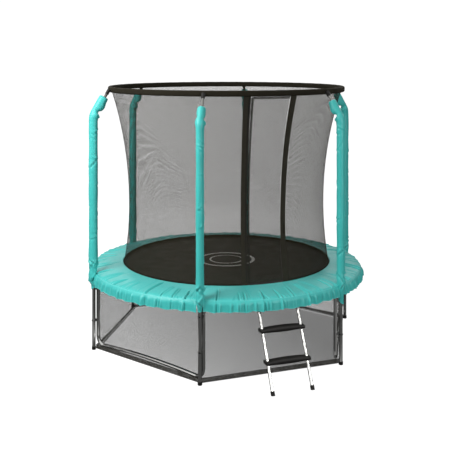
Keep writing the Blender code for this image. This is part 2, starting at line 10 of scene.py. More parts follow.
import bpy
import numpy as np
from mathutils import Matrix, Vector


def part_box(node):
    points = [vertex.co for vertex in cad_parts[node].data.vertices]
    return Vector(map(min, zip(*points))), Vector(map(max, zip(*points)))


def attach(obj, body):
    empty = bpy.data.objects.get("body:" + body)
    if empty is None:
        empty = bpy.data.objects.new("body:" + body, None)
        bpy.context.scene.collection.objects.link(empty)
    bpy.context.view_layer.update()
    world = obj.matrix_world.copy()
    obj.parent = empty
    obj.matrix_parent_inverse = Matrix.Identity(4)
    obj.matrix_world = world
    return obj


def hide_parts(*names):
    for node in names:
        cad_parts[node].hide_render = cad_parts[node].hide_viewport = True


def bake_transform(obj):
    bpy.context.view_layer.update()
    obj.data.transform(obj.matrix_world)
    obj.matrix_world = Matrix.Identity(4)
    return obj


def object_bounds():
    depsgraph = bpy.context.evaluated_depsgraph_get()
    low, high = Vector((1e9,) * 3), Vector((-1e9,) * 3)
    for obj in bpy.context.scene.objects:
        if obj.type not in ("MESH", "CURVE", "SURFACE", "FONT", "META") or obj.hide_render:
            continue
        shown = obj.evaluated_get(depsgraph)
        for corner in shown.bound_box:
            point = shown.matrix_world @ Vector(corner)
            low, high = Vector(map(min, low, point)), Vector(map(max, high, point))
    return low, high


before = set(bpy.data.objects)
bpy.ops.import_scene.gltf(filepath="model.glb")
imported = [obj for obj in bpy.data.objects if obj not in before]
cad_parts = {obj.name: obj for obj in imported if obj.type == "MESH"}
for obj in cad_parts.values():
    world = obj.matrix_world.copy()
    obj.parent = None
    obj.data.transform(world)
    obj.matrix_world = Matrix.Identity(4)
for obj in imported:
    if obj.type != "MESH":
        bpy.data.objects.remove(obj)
CAD_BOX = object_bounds()

# ---- driving sizes, from the frame
HOOP_LOW, HOOP_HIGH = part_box("top_hoop")
BAND_LOW, BAND_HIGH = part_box("hoop_band")
MAT_LOW, MAT_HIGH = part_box("jumping_mat")
PAD_LOW, PAD_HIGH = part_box("spring_pad")
POLE_LOW, POLE_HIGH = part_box("pole_lower_right")
LOWER_NET_LOW, LOWER_NET_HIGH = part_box("lower_net")
SPRING_LOW, SPRING_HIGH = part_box("spring_bank_back")
DOOR_LOW, DOOR_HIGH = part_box("net_door")

CENTRE_X = (HOOP_LOW.x + HOOP_HIGH.x) / 2
CENTRE_Y = (HOOP_LOW.y + HOOP_HIGH.y) / 2
HOOP_TUBE = (HOOP_HIGH.z - HOOP_LOW.z) / 2
HOOP_OUT = (HOOP_HIGH.x - HOOP_LOW.x) / 2 - HOOP_TUBE
MAT_OUT = (MAT_HIGH.x - MAT_LOW.x) / 2
MAT_TOP = MAT_HIGH.z
PAD_OUT = (PAD_HIGH.x - PAD_LOW.x) / 2
PAD_INNER = MAT_OUT - 0.020   # the pad's inner edge lies on the mat
SKIRT_BOTTOM = PAD_LOW.z
POLE_OUT = (POLE_LOW.x + POLE_HIGH.x) / 2 - CENTRE_X
POLE_RADIUS = (POLE_HIGH.x - POLE_LOW.x) / 2
NET_WAIST_OUT = MAT_OUT - 0.0742   # the net's side is one circular arc, bulging inwards
NET_WAIST_HEIGHT = MAT_TOP + 0.553
NET_ARC = 3.302
NET_TOP = BAND_LOW.z
NET_TUCKED = NET_TOP + 0.004  # the net's top edge, inside the hoop's channel
NET_BOTTOM = MAT_TOP + 0.002
NET_THICKNESS = 0.0001
HEM_WIDTH = 0.022

POLE_PLACES = {
    "front_right": 30, "right": 90, "back_right": 150,
    "back_left": 210, "left": 270, "front_left": 330,
}
SECTORS = 16                  # sewn panels of the pad, and slices of the mat
SECTOR = math.tau / SECTORS
SPRINGS = 48
DOOR_EDGE = math.radians(11.25)    # the opening's edges, where the straps hang
DOOR_FREE = -math.radians(9.0)     # the door's own edges
DOOR_HINGE = math.radians(9.4)


def ring(out, azimuth, height):
    """Points in the frame's axes; any argument may be an array."""
    out, azimuth, height = np.broadcast_arrays(
        np.asarray(out, float), np.asarray(azimuth, float), np.asarray(height, float))
    return np.stack([CENTRE_X + out * np.sin(azimuth), CENTRE_Y - out * np.cos(azimuth), height], -1)


def ring_point(out, azimuth, height):
    """One such point, as a vector."""
    return Vector(ring(out, azimuth, height))


def circle(count):
    """Angles spread evenly over a full turn."""
    return np.arange(count) * math.tau / count


# ---- mesh helpers
def add_mesh(name, points, faces, material, smooth_angle=60):
    """A smooth piece of one material."""
    mesh = bpy.data.meshes.new(name)
    mesh.from_pydata([tuple(point) for point in points], [], faces)
    mesh.materials.append(material)
    mesh.validate()
    mesh.update()
    mesh.shade_smooth()
    mesh.set_sharp_from_angle(angle=math.radians(smooth_angle))
    piece = bpy.data.objects.new(name, mesh)
    bpy.context.scene.collection.objects.link(piece)
    return piece


def grid_faces(stations, loop, ring_path):
    """Quads of a closed section swept through stations. On a ring path the last one meets the first."""
    faces = []
    last = stations if ring_path else stations - 1
    for station in range(last):
        here = station * loop
        there = ((station + 1) % stations) * loop
        for j in range(loop):
            k = (j + 1) % loop
            faces.append((here + j, here + k, there + k, there + j))
    return faces


def cap_faces(base, half, flip):
    """Quads that close the end of a section made of an outer run and a returning inner run."""
    faces = []
    for j in range(half - 1):
        quad = (base + j, base + j + 1, base + 2 * half - 2 - j, base + 2 * half - 1 - j)
        faces.append(quad if flip else quad[::-1])
    return faces


def sweep(name, sections, material, ring_path=False):
    """A solid from closed sections, an array of (stations, points of the section, 3).

    A section is an outer run of points and then an inner run that returns, of the same length.
    """
    stations, loop = sections.shape[:2]
    faces = grid_faces(stations, loop, ring_path)
    if not ring_path:
        faces += cap_faces(0, loop // 2, True)
        faces += cap_faces((stations - 1) * loop, loop // 2, False)
    return add_mesh(name, sections.reshape(-1, 3), faces, material)


def sheet(name, outer, inner, material, ring_path=False):
    """A thin solid between two grids of points of shape (stations, across, 3)."""
    return sweep(name, np.concatenate([outer, inner[:, ::-1]], axis=1), material, ring_path)


def upright_sheet(name, out, azimuth, height, thickness, material, ring_path=False):
    """A thin standing sheet whose middle lies at these distances out."""
    outer, inner = (ring(out + side * thickness / 2, azimuth, height) for side in (1, -1))
    return sheet(name, outer, inner, material, ring_path)


OFF_AXIS = (0.37, 0.21, 0.905)     # a direction that no wire in the springs runs along


def capped_faces(stations, sides):
    """Quads of a section swept through stations, with one flat face at each end."""
    last = (stations - 1) * sides
    ends = [tuple(range(sides))[::-1], tuple(range(last, last + sides))]
    return grid_faces(stations, sides, False) + ends


def rod(path, radius, sides):
    """Points and faces of a round rod along a line of points, closed with flat ends."""
    tangent = np.gradient(path, axis=0)
    tangent /= np.linalg.norm(tangent, axis=1)[:, None]
    side = np.cross(tangent, OFF_AXIS)
    side /= np.linalg.norm(side, axis=1)[:, None]
    other = np.cross(tangent, side)
    angle = circle(sides)[None, :, None]
    points = path[:, None] + radius * (np.cos(angle) * side[:, None] + np.sin(angle) * other[:, None])
    return points.reshape(-1, 3), capped_faces(len(path), sides)


def join(name, shapes, material, smooth_angle=60):
    """One piece from several (points, faces) shapes."""
    points = []
    faces = []
    for shape_points, shape_faces in shapes:
        start = len(points)
        points.extend(shape_points)
        faces.extend([tuple(start + index for index in face) for face in shape_faces])
    return add_mesh(name, points, faces, material, smooth_angle)


def smoothstep(value):
    """From 0 to 1 as the value does, level at both ends."""
    value = np.clip(value, 0.0, 1.0)
    return value * value * (3 - 2 * value)


def crease(along, across, length, width, depth):
    """A fold in cloth: a groove with a soft ridge beside it."""
    reach = np.exp(-(along / length) ** 2)
    groove = np.exp(-(across / width) ** 2)
    ridge = np.exp(-((across - 1.7 * width) / (1.1 * width)) ** 2)
    return depth * reach * (0.8 * ridge - groove)


def bulge(along, across, length, width, height):
    """A soft rounded swelling."""
    return height * np.exp(-(along / length) ** 2 - (across / width) ** 2)


# ---- materials
class Nodes:
    """A node tree under construction, with short calls for its nodes."""

    def __init__(self, tree):
        self.tree = tree

    def add(self, kind, inputs=None, **settings):
        node = self.tree.nodes.new(kind)
        for key, value in settings.items():
            setattr(node, key, value)
        for key, value in (inputs or {}).items():
            self.put(node, key, value)
        return node

    def put(self, node, key, value):
        if isinstance(value, bpy.types.NodeSocket):
            self.tree.links.new(value, node.inputs[key])
        else:
            node.inputs[key].default_value = value

    def math(self, operation, first, second=0.0):
        return self.add("ShaderNodeMath", {0: first, 1: second}, operation=operation).outputs[0]

    def times(self, first, second):
        return self.math('MULTIPLY', first, second)

    def level(self, value, low, high, to_low=0.0, to_high=1.0):
        inputs = {"Value": value, "From Min": low, "From Max": high, "To Min": to_low, "To Max": to_high}
        return self.add("ShaderNodeMapRange", inputs).outputs["Result"]


class Paint(Nodes):
    """A material under construction."""

    def __init__(self, name):
        self.material = bpy.data.materials.new(name)
        self.material.use_nodes = True
        super().__init__(self.material.node_tree)
        self.shader = self.tree.nodes["Principled BSDF"]
        self.place = self.add("ShaderNodeTexCoord").outputs["Object"]

    def surface(self, **values):
        for key, value in values.items():
            self.put(self.shader, key.replace("_", " "), value)

    def noise(self, scale, detail=2.0, place=None):
        inputs = {"Scale": scale, "Detail": detail, "Vector": place or self.place}
        return self.add("ShaderNodeTexNoise", inputs).outputs["Fac"]

    def mix(self, share, first, second):
        node = self.add("ShaderNodeMix", {"Factor": share}, data_type='RGBA')
        self.put(node, 6, first if isinstance(first, bpy.types.NodeSocket) else (*first, 1.0))
        self.put(node, 7, second if isinstance(second, bpy.types.NodeSocket) else (*second, 1.0))
        return node.outputs[2]

    def axes(self):
        parts = self.add("ShaderNodeSeparateXYZ", {"Vector": self.place}).outputs
        return parts["X"], parts["Y"], parts["Z"]

    def shifted(self, operation, vector):
        """The place after one operation with a fixed vector."""
        return self.add("ShaderNodeVectorMath", {0: self.place, 1: vector}, operation=operation).outputs[0]

    def around(self):
        """Azimuth in radians, distance out from the centre line, and height."""
        centred = self.shifted('SUBTRACT', (CENTRE_X, CENTRE_Y, 0.0))
        parts = self.add("ShaderNodeSeparateXYZ", {"Vector": centred}).outputs
        azimuth = self.math('ARCTAN2', parts["X"], self.times(parts["Y"], -1.0))
        square = self.math('ADD', self.times(parts["X"], parts["X"]), self.times(parts["Y"], parts["Y"]))
        return azimuth, self.math('SQRT', square), parts["Z"]

    def bump(self, height, distance, strength=1.0, normal=None):
        inputs = {"Height": height, "Distance": distance, "Strength": strength}
        if normal is not None:
            inputs["Normal"] = normal
        return self.add("ShaderNodeBump", inputs).outputs["Normal"]


def weave_height(paint, first, second, pitch):
    """Threads crossing over and under each other."""
    turn = math.tau / pitch
    one = paint.math('SINE', paint.times(first, turn))
    two = paint.math('SINE', paint.times(second, turn))
    return paint.times(one, two)


def cover_material():
    """Coated turquoise cloth: soft sheen, fine grain, small wrinkles, dust, painted shade in its creases and
    painted highlights on its ridges.
    """
    paint = Paint("turquoise_cloth")
    patches = paint.noise(6.0, 3.0)
    shade = paint.mix(patches, (0.048, 0.515, 0.480), (0.066, 0.585, 0.550))
    dust = paint.level(paint.noise(38.0, 5.0), 0.55, 0.80, 0.0, 0.10)
    shade = paint.mix(dust, shade, (0.25, 0.66, 0.62))
    bend = paint.add("ShaderNodeNewGeometry").outputs["Pointiness"]
    # Painted shade: concave places such as creases and folds are darkened by their pointiness.
    shade = paint.mix(paint.level(bend, 0.495, 0.450, 0.0, 0.60), shade, (0.022, 0.290, 0.272))
    # Painted highlight: convex ridges are lightened by their pointiness.
    shade = paint.mix(paint.level(bend, 0.515, 0.565, 0.0, 0.45), shade, (0.160, 0.740, 0.700))
    grain = paint.noise(1400.0, 1.0)
    wrinkles = paint.noise(34.0, 3.0)
    normal = paint.bump(wrinkles, 0.0035, 0.5)
    normal = paint.bump(grain, 0.0004, 0.35, normal)
    rough = paint.level(paint.noise(80.0, 3.0), 0.3, 0.7, 0.34, 0.46)
    paint.surface(Base_Color=shade, Roughness=rough, Normal=normal, Sheen_Weight=0.08,
                  Specular_IOR_Level=0.4)
    return paint.material


def webbing_material(name, low, high, rib_shade):
    """Dark woven band with a fine diagonal rib."""
    paint = Paint(name)
    azimuth, _, height = paint.around()
    rib = weave_height(paint, paint.math('ADD', azimuth, height), paint.math('SUBTRACT', azimuth, height),
                       0.004)
    shade = paint.mix(paint.noise(25.0, 4.0), low, high)
    shade = paint.mix(paint.level(rib, -1.0, 1.0, 0.0, 0.35), shade, rib_shade)
    normal = paint.bump(rib, 0.0006, 0.6)
    paint.surface(Base_Color=shade, Roughness=0.75, Normal=normal, Specular_IOR_Level=0.08)
    return paint.material


NET_MIDDLE_OUT = 0.95         # turns an azimuth into a length along the cloth


def mesh_cloth(name, thread_colour, tint, pitch, thread, left_haze_and_shade, right_haze_and_shade):
    """See-through net: crossed threads with soft edges and open holes between them.

    A haze over the holes stands for fuzz on the threads. Where it is thicker on the right (+X) than on the
    left, the difference is painted shade.
    """
    paint = Paint(name)
    azimuth, _, height = paint.around()
    run = paint.times(azimuth, NET_MIDDLE_OUT)
    x = paint.axes()[0]
    # Painted shade: the haze grows from left to right, so the net reads darker on its right side.
    open_share = paint.level(x, -HOOP_OUT, HOOP_OUT, 1.0 - left_haze_and_shade, 1.0 - right_haze_and_shade)
    for combine in ('ADD', 'SUBTRACT'):
        phase = paint.math('DIVIDE', paint.math(combine, run, height), pitch)
        offset = paint.math('ABSOLUTE', paint.math('SUBTRACT', paint.math('FRACT', phase), 0.5))
        gap = paint.level(offset, 0.25 * thread, 0.75 * thread)
        open_share = paint.times(open_share, gap)
    shade = paint.mix(paint.noise(3.0, 2.0), thread_colour, tint)
    solid = paint.math('SUBTRACT', 1.0, open_share)
    paint.surface(Base_Color=shade, Roughness=0.7, Alpha=solid, Specular_IOR_Level=0.1)
    return paint.material


def mat_material():
    """Tightly woven mat with a pale printed target of plain rings, worn a little thin."""
    paint = Paint("woven_mat_cloth")
    x, y, _ = paint.axes()
    out = paint.around()[1]
    threads = weave_height(paint, x, y, 0.0036)
    shade = paint.mix(paint.noise(2.2, 3.0), (0.0055, 0.0050, 0.0036), (0.0100, 0.0092, 0.0070))
    shade = paint.mix(paint.level(threads, -1.0, 1.0, 0.0, 0.30), shade, (0.017, 0.015, 0.012))
    wear = paint.noise(60.0, 4.0)
    for middle, half in ((0.150, 0.008), (0.250, 0.014)):
        offset = paint.math('ABSOLUTE', paint.math('SUBTRACT', out, middle))
        inked = paint.math('LESS_THAN', offset, half)
        printed = paint.times(inked, paint.level(wear, 0.30, 0.55, 0.60, 1.0))
        shade = paint.mix(printed, shade, (0.66, 0.65, 0.62))
    normal = paint.bump(threads, 0.0005, 0.5)
    rough = paint.level(paint.noise(9.0, 3.0), 0.3, 0.7, 0.50, 0.64)
    paint.surface(Base_Color=shade, Roughness=rough, Normal=normal, Specular_IOR_Level=0.07)
    return paint.material


def steel_material(name, low, high, rough_low, rough_high, reflection_streak_share=0.0):
    """Plated tube: faint zinc spangle, fine scuffs, slightly dull patches, and painted reflections as dark
    streaks along it.
    """
    paint = Paint(name)
    blotch = paint.noise(26.0, 4.0)
    spangle = paint.add("ShaderNodeTexVoronoi", {"Vector": paint.place, "Scale": 240.0}).outputs["Distance"]
    scuffs = paint.level(paint.noise(170.0, 5.0), 0.60, 0.80, 0.0, 0.5)
    shade = paint.mix(paint.level(spangle, 0.0, 0.8, 0.0, 0.5), low, high)
    shade = paint.mix(scuffs, shade, tuple(0.7 * value for value in low))
    # Painted reflection: dark streaks stretched along Z stand in for the surroundings mirrored in the tube.
    reflection_streaks = paint.noise(1.0, 3.0, paint.shifted('MULTIPLY', (170.0, 90.0, 26.0)))
    shade = paint.mix(paint.level(reflection_streaks, 0.42, 0.58, 0.0, reflection_streak_share), shade, (0.10, 0.10, 0.095))
    rough = paint.math('ADD', paint.level(blotch, 0.3, 0.7, rough_low, rough_high), paint.times(scuffs, 0.15))
    normal = paint.bump(blotch, 0.0006, 0.15)
    paint.surface(Base_Color=shade, Roughness=rough, Metallic=1.0, Normal=normal)
    return paint.material


def plastic_material():
    """Black moulded plastic with a fine spark-eroded grain and rubbed high spots."""
    paint = Paint("moulded_plastic")
    shade = paint.mix(paint.noise(20.0, 4.0), (0.008, 0.0075, 0.007), (0.017, 0.016, 0.0145))
    rough = paint.level(paint.noise(120.0, 3.0), 0.3, 0.7, 0.42, 0.56)
    normal = paint.bump(paint.noise(900.0, 2.0), 0.0003, 0.35)
    paint.surface(Base_Color=shade, Roughness=rough, Normal=normal, Specular_IOR_Level=0.16)
    return paint.material


COVER = cover_material()
WEBBING = webbing_material("dark_webbing", (0.010, 0.0085, 0.0050), (0.019, 0.0165, 0.0100),
                           (0.032, 0.028, 0.018))
STRAP = webbing_material("strap_webbing", (0.024, 0.021, 0.015), (0.040, 0.036, 0.026),
                         (0.062, 0.056, 0.042))
# The safety net's haze grows from 5.5 % at -X to 16.5 % at +X, and the lower net's from 4.5 % to 5.5 %:
# painted shade.
NET = mesh_cloth("safety_mesh", (0.026, 0.022, 0.012), (0.038, 0.032, 0.019), 0.0050, 0.17, 0.055, 0.165)
LOWER_NET = mesh_cloth("lower_mesh", (0.036, 0.034, 0.028), (0.054, 0.051, 0.043), 0.0042, 0.18, 0.045, 0.055)
DOUBLED_NET = mesh_cloth("doubled_hem_mesh", (0.034, 0.032, 0.025), (0.050, 0.047, 0.038), 0.0042, 0.32,
                         0.24, 0.24)
MAT_CLOTH = mat_material()
STEEL = steel_material("zinc_steel", (0.34, 0.34, 0.33), (0.46, 0.46, 0.45), 0.12, 0.20)
# A darker copy of the zinc steel for the upper poles: painted shade, besides its rougher finish.
SHADED_STEEL = steel_material("dull_zinc_steel_painted_shade", (0.13, 0.13, 0.12), (0.22, 0.22, 0.21), 0.20, 0.30)
# The ladder rails carry strong painted reflection streaks.
BRIGHT_STEEL = steel_material("bright_plated_steel", (0.74, 0.74, 0.71), (0.90, 0.90, 0.87), 0.14, 0.24, 0.75)
PLASTIC = plastic_material()


def paint_frame_nodes():
    """The steel and plastic nodes keep their CAD shape and take their finished material."""
    looks = (("frame_rail", STEEL), ("u_leg", STEEL), ("pole_lower", STEEL), ("pole_upper", SHADED_STEEL),
             ("top_hoop", STEEL), ("pole_foot_cap", PLASTIC), ("pole_top_cap", PLASTIC),
             ("ladder_rail", BRIGHT_STEEL), ("ladder_foot", PLASTIC), ("zip_slider", PLASTIC))
    for name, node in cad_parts.items():
        for stem, material in looks:
            if name.startswith(stem):
                for index in range(len(node.data.materials)):
                    node.data.materials[index] = material


# ---- pieces on the mat, baked in place
# The mat dishes when it is pushed down: the springs' outer ends stay and the middle goes all the way. Nothing
# here moves the pieces that way.
BOUNCE_OUTER = MAT_OUT + 0.213
BOUNCE_INNER = 0.20


def follow_mat(piece, azimuth):
    """Bakes a slice of the mat, its springs or the pad in place; nothing makes it sink with the mat."""
    ring_point(BOUNCE_OUTER, azimuth, MAT_TOP)
    ring_point(BOUNCE_INNER, azimuth, MAT_TOP)
    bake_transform(piece)


def follow_mat_edge(piece):
    """Bakes a piece of the net in place; nothing makes it sink with the mat's edge."""
    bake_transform(piece)


# ---- net
def net_out(height, offset=0.0):
    """Distance out of the net at a height; a positive offset lies outside it."""
    reach = NET_ARC - offset
    drop = np.asarray(height, float) - NET_WAIST_HEIGHT
    return NET_WAIST_OUT + NET_ARC - np.sqrt(reach ** 2 - drop ** 2)


def net_ripple(azimuth, height):
    """Slack in the cloth: slow waves, strongest half-way up."""
    middle = np.sin(np.pi * (height - NET_BOTTOM) / (NET_TOP - NET_BOTTOM))
    wave = np.sin(6 * azimuth + 0.6 * np.sin(3 * height)) + 0.5 * np.sin(17 * azimuth + 4 * height)
    return 0.0022 * middle * wave


def net_sheet(name, low, high, first, last, material, thickness, offset=0.0, step=0.035):
    """A net panel between two azimuths and two heights."""
    columns = max(3, int((last - first) / step))
    azimuth = np.linspace(first, last, columns)[:, None]
    height = np.linspace(low, high, 26)[None, :]
    out = net_out(height, offset) + net_ripple(azimuth, height)
    return upright_sheet(name, out, azimuth, height, thickness, material)


def build_net():
    """The net all round but for the door's opening, with a sewn hem at the mat."""
    first = DOOR_EDGE + math.radians(0.15)
    last = math.tau - first
    net = net_sheet("safety_net_cloth", NET_BOTTOM, NET_TUCKED, first, last, NET, NET_THICKNESS)
    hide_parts("safety_net")
    follow_mat_edge(net)
    follow_mat_edge(net_sheet("safety_net_hem", NET_BOTTOM - 0.0005, NET_BOTTOM + HEM_WIDTH, first, last,
                              WEBBING, 0.0022))


STRAP_HALF = math.radians(1.6)
STRAP_OFFSET = 0.0022         # of the straps and the zip, outside the net
STRAP_FOLD = 0.72             # where the folded edge begins, as a share of the half width


def build_straps():
    """The dark bands on both sides of the door, with folded edges."""
    across = np.linspace(-1, 1, 13)[None, :]
    height = np.linspace(NET_BOTTOM + 0.010, NET_TOP + 0.003, 90)[:, None]
    to_edge = np.abs(across) - STRAP_FOLD
    fold = 0.0007 * (to_edge > 0) + 0.0012 * np.exp(-(to_edge / 0.05) ** 2)
    for side, node in ((-1, "door_strap_left"), (1, "door_strap_right")):
        azimuth = side * DOOR_EDGE + STRAP_HALF * across
        base = net_out(height, STRAP_OFFSET) + 0.0012 * np.sin(height * 9 + side)
        outer = ring(base + 0.0012 + fold, azimuth, height)
        inner = ring(base - 0.0010, azimuth, height)
        strap = sheet(node.replace("door_strap", "strap_band"), outer, inner, STRAP)
        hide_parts(node)
        follow_mat_edge(strap)


ZIP_AZIMUTH = -(DOOR_EDGE - math.radians(0.95))
TOOTH_PITCH = 0.0030
TOOTH_DEEP = 0.0012           # half sizes of the zip's cord, and how far a tooth stands above it
TOOTH_WIDE = 0.0022
TOOTH_PROUD = 0.0006


def build_zip():
    """The zip's row of teeth along the left strap."""
    height = np.arange(DOOR_LOW.z + 0.01, DOOR_HIGH.z - 0.01, TOOTH_PITCH / 2)[:, None]
    tooth = (np.arange(len(height)) % 2)[:, None]
    angle = circle(8)[None, :]
    deep = TOOTH_DEEP + TOOTH_PROUD * tooth
    wide = (TOOTH_WIDE + 2 * TOOTH_PROUD * tooth) / NET_WAIST_OUT
    out = net_out(height, STRAP_OFFSET) + 0.0030 + deep * np.cos(angle)
    follow_mat_edge(sweep("zip_teeth", ring(out, ZIP_AZIMUTH + wide * np.sin(angle), height), PLASTIC))


DOOR_STEP = 0.01              # columns of the door's net, in radians
DOOR_TAPE = 0.0006            # thickness of its taped border
BEHIND_DOOR = -0.0035
DOOR_EASED = math.radians(3.0)    # an azimuth near the hinge; nothing turns the door's net here


def build_door():
    """The door's net with a taped border."""
    low = DOOR_LOW.z
    high = DOOR_HIGH.z
    middle = (low + high) / 2
    taped = DOOR_FREE + math.radians(0.9)
    door = net_sheet("door_net", low, high, DOOR_FREE, DOOR_HINGE, NET, NET_THICKNESS, step=DOOR_STEP)
    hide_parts("net_door")
    pieces = [door]
    for name, bottom, top, first, last in (
            ("door_tape_free", low, high, DOOR_FREE, taped),
            ("door_tape_low", low, low + HEM_WIDTH, taped, DOOR_HINGE),
            ("door_tape_high", high - 0.020, high, taped, DOOR_HINGE)):
        pieces.append(net_sheet(name, bottom, top, first, last, DOUBLED_NET, DOOR_TAPE, DOOR_TAPE, DOOR_STEP))
    for piece in pieces:
        ring_point(HOOP_OUT, DOOR_HINGE, middle)
        ring_point(HOOP_OUT, DOOR_EASED, middle)
        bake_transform(piece)


def build_door_flaps():
    """Strips of net behind the door's top and free edges, so that no gap is left when it is shut."""
    corner = DOOR_HIGH.z - 0.006
    inside = DOOR_FREE + math.radians(0.5)
    for name, low, high, last, material in (
            ("door_flap_top", corner, NET_TUCKED, DOOR_EDGE, NET),
            ("door_flap_side", DOOR_LOW.z, corner, inside, DOUBLED_NET)):
        follow_mat_edge(net_sheet(name, low, high, -DOOR_EDGE, last, material, NET_THICKNESS, BEHIND_DOOR,
                                  DOOR_STEP))


def build_band():
    """The fabric channel over the hoop, gathered a little between its stitches."""
    azimuth = circle(360)[:, None]
    centre_height = (BAND_LOW.z + BAND_HIGH.z) / 2
    half_high = (BAND_HIGH.z - BAND_LOW.z) / 2 + 0.0025
    half_wide = (BAND_HIGH.y - HOOP_HIGH.y) + HOOP_TUBE
    angle = np.linspace(math.radians(-72), math.radians(252), 26)[None, :]
    roundness = 0.62          # below 1 the section is fuller than an ellipse

    def run(inset):
        """The section's outer or inner run, set in from the outside."""
        cosine = np.cos(angle)
        sine = np.sin(angle)
        wide = (half_wide - inset) * np.sign(cosine) * np.abs(cosine) ** roundness
        high = (half_high - inset) * np.sign(sine) * np.abs(sine) ** roundness
        ripple = 0.0007 * np.sin(46 * azimuth + 2.5 * angle) + 0.0005 * np.sin(131 * azimuth + angle)
        return ring(HOOP_OUT + wide + ripple * np.sign(cosine), azimuth, centre_height + high + 0.5 * ripple)

    band = sheet("hoop_band_cloth", run(0.0), run(0.0022), WEBBING, ring_path=True)
    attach(band, "frame")
    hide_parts("hoop_band")


# ---- mat and springs
MAT_HEM = 0.0010              # the doubled edge stands this far above the rest
MAT_HEM_FROM = MAT_OUT - 0.070


def build_mat():
    """The mat in slices, each with its doubled edge."""
    edge = MAT_HEM_FROM + np.array([-0.002, 0.002, 0.006, 0.038])
    out = np.concatenate([np.linspace(0.0, MAT_HEM_FROM - 0.042, 22), edge, [MAT_OUT]])[None, :]
    for index in range(SECTORS):
        middle = index * SECTOR
        azimuth = np.linspace(middle - SECTOR / 2, middle + SECTOR / 2, 9)[:, None]
        top = ring(out, azimuth, MAT_TOP - MAT_HEM * (out <= MAT_HEM_FROM))
        low = ring(out, azimuth, MAT_LOW.z)
        piece = sheet(f"mat_slice_{index + 1:02d}", top, low, MAT_CLOTH)
        follow_mat(piece, middle)
        if index == 0:
            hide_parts("jumping_mat")


SPRING_HEIGHT = (SPRING_LOW.z + SPRING_HIGH.z) / 2
SPRING_OUTER = MAT_OUT + 0.206
SPRING_INNER = MAT_OUT + 0.040
COIL_RADIUS = 0.0080
COIL_TURNS = 26
WIRE = 0.0016


def bent_wire(path, azimuth, radius, sides):
    """A rod along a path of (out, sideways, height) points, lying at an azimuth."""
    out, side, height = np.array(path).T
    return rod(ring(out, azimuth + side / out, height), radius, sides)


def coil_spring(azimuth):
    """A close-wound spring with a hook at each end, lying along its own azimuth."""
    first = SPRING_INNER + 0.014
    last = SPRING_OUTER - 0.012
    share = np.linspace(0, 1, COIL_TURNS * 8)
    angle = share * COIL_TURNS * math.tau
    out = first + (last - first) * share
    side = COIL_RADIUS * np.sin(angle)
    up = COIL_RADIUS * np.cos(angle)
    lead_in = [(SPRING_INNER - 0.006, 0.0, -0.006), (SPRING_INNER - 0.004, 0.0, 0.002),
               (SPRING_INNER + 0.006, 0.0, COIL_RADIUS)]
    lead_out = [(SPRING_OUTER - 0.006, 0.0, COIL_RADIUS), (SPRING_OUTER + 0.006, 0.0, 0.004),
                (SPRING_OUTER + 0.010, 0.0, -0.008)]
    path = np.concatenate([lead_in, np.stack([out, side, up], -1), lead_out])
    return bent_wire(path + (0.0, 0.0, SPRING_HEIGHT), azimuth, WIRE, 5)


def spring_ring(azimuth):
    """The three-sided ring that ties a spring to the mat's edge."""
    half = 0.018
    sewn_out = MAT_OUT - 0.008
    sewn_height = MAT_TOP - 0.003
    hook_out = SPRING_INNER - 0.006
    hook_height = SPRING_HEIGHT - 0.001
    corners = [(sewn_out, -half, sewn_height), (sewn_out, half, sewn_height), (hook_out, 0.004, hook_height),
               (hook_out, -0.004, hook_height), (sewn_out, -half, sewn_height)]
    return bent_wire(corners, azimuth, 0.002, 6)


def build_springs():
    """The springs and their rings, sector by sector."""
    per_sector = SPRINGS // SECTORS
    banks = ("spring_bank_right", "spring_bank_back", "spring_bank_left")
    for index in range(SECTORS):
        middle = index * SECTOR
        shapes = []
        for spring in range(per_sector):
            azimuth = middle + (spring - (per_sector - 1) / 2) * math.tau / SPRINGS
            shapes.append(coil_spring(azimuth))
            shapes.append(spring_ring(azimuth))
        piece = join(f"springs_{index + 1:02d}", shapes, STEEL)
        follow_mat(piece, middle)
        if index < len(banks):
            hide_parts(banks[index])


# ---- pad and skirt
NOTCH = 0.0345                # radius of the pad's notch round a pole's sleeve
SLIT = 0.0270                 # half width of the skirt's slit at a pole
FOLD_OUT = PAD_INNER + 0.280  # where the pad's top turns down into the skirt
FAR = 9.0                     # a distance beyond the whole trampoline


# A crease in the cover: its azimuth, the side of its ridge, its slant, how far in it starts, its size.
Fold = namedtuple("Fold", "azimuth side slant reach depth width")


def fold_list(seed, count, slant, reach, depth, width):
    """Creases spread round the pad, each drawn from the ranges given."""
    picker = random.Random(seed)
    folds = []
    for index in range(count):
        azimuth = (index + picker.uniform(-0.42, 0.42)) * math.tau / count
        side = picker.choice((-1, 1))
        folds.append(Fold(azimuth, side, picker.uniform(*slant), picker.uniform(*reach),
                          picker.uniform(*depth), picker.uniform(*width)))
    return folds


PAD_FOLDS = fold_list(11, 60, (-0.15, 0.15), (0.945, 1.08), (0.0065, 0.0125), (0.0062, 0.0095))
PAD_TUCKS = fold_list(23, 84, (-0.40, 0.40), (1.12, 1.19), (0.0025, 0.0055), (0.0060, 0.0090))
SKIRT_PLEATS = fold_list(5, 112, (-0.35, 0.35), (0.0, 0.3), (0.0040, 0.0125), (0.006, 0.011))


def turn_between(azimuth, middle):
    """Signed turn from one azimuth to another, within half a circle."""
    return (azimuth - middle + math.pi) % math.tau - math.pi


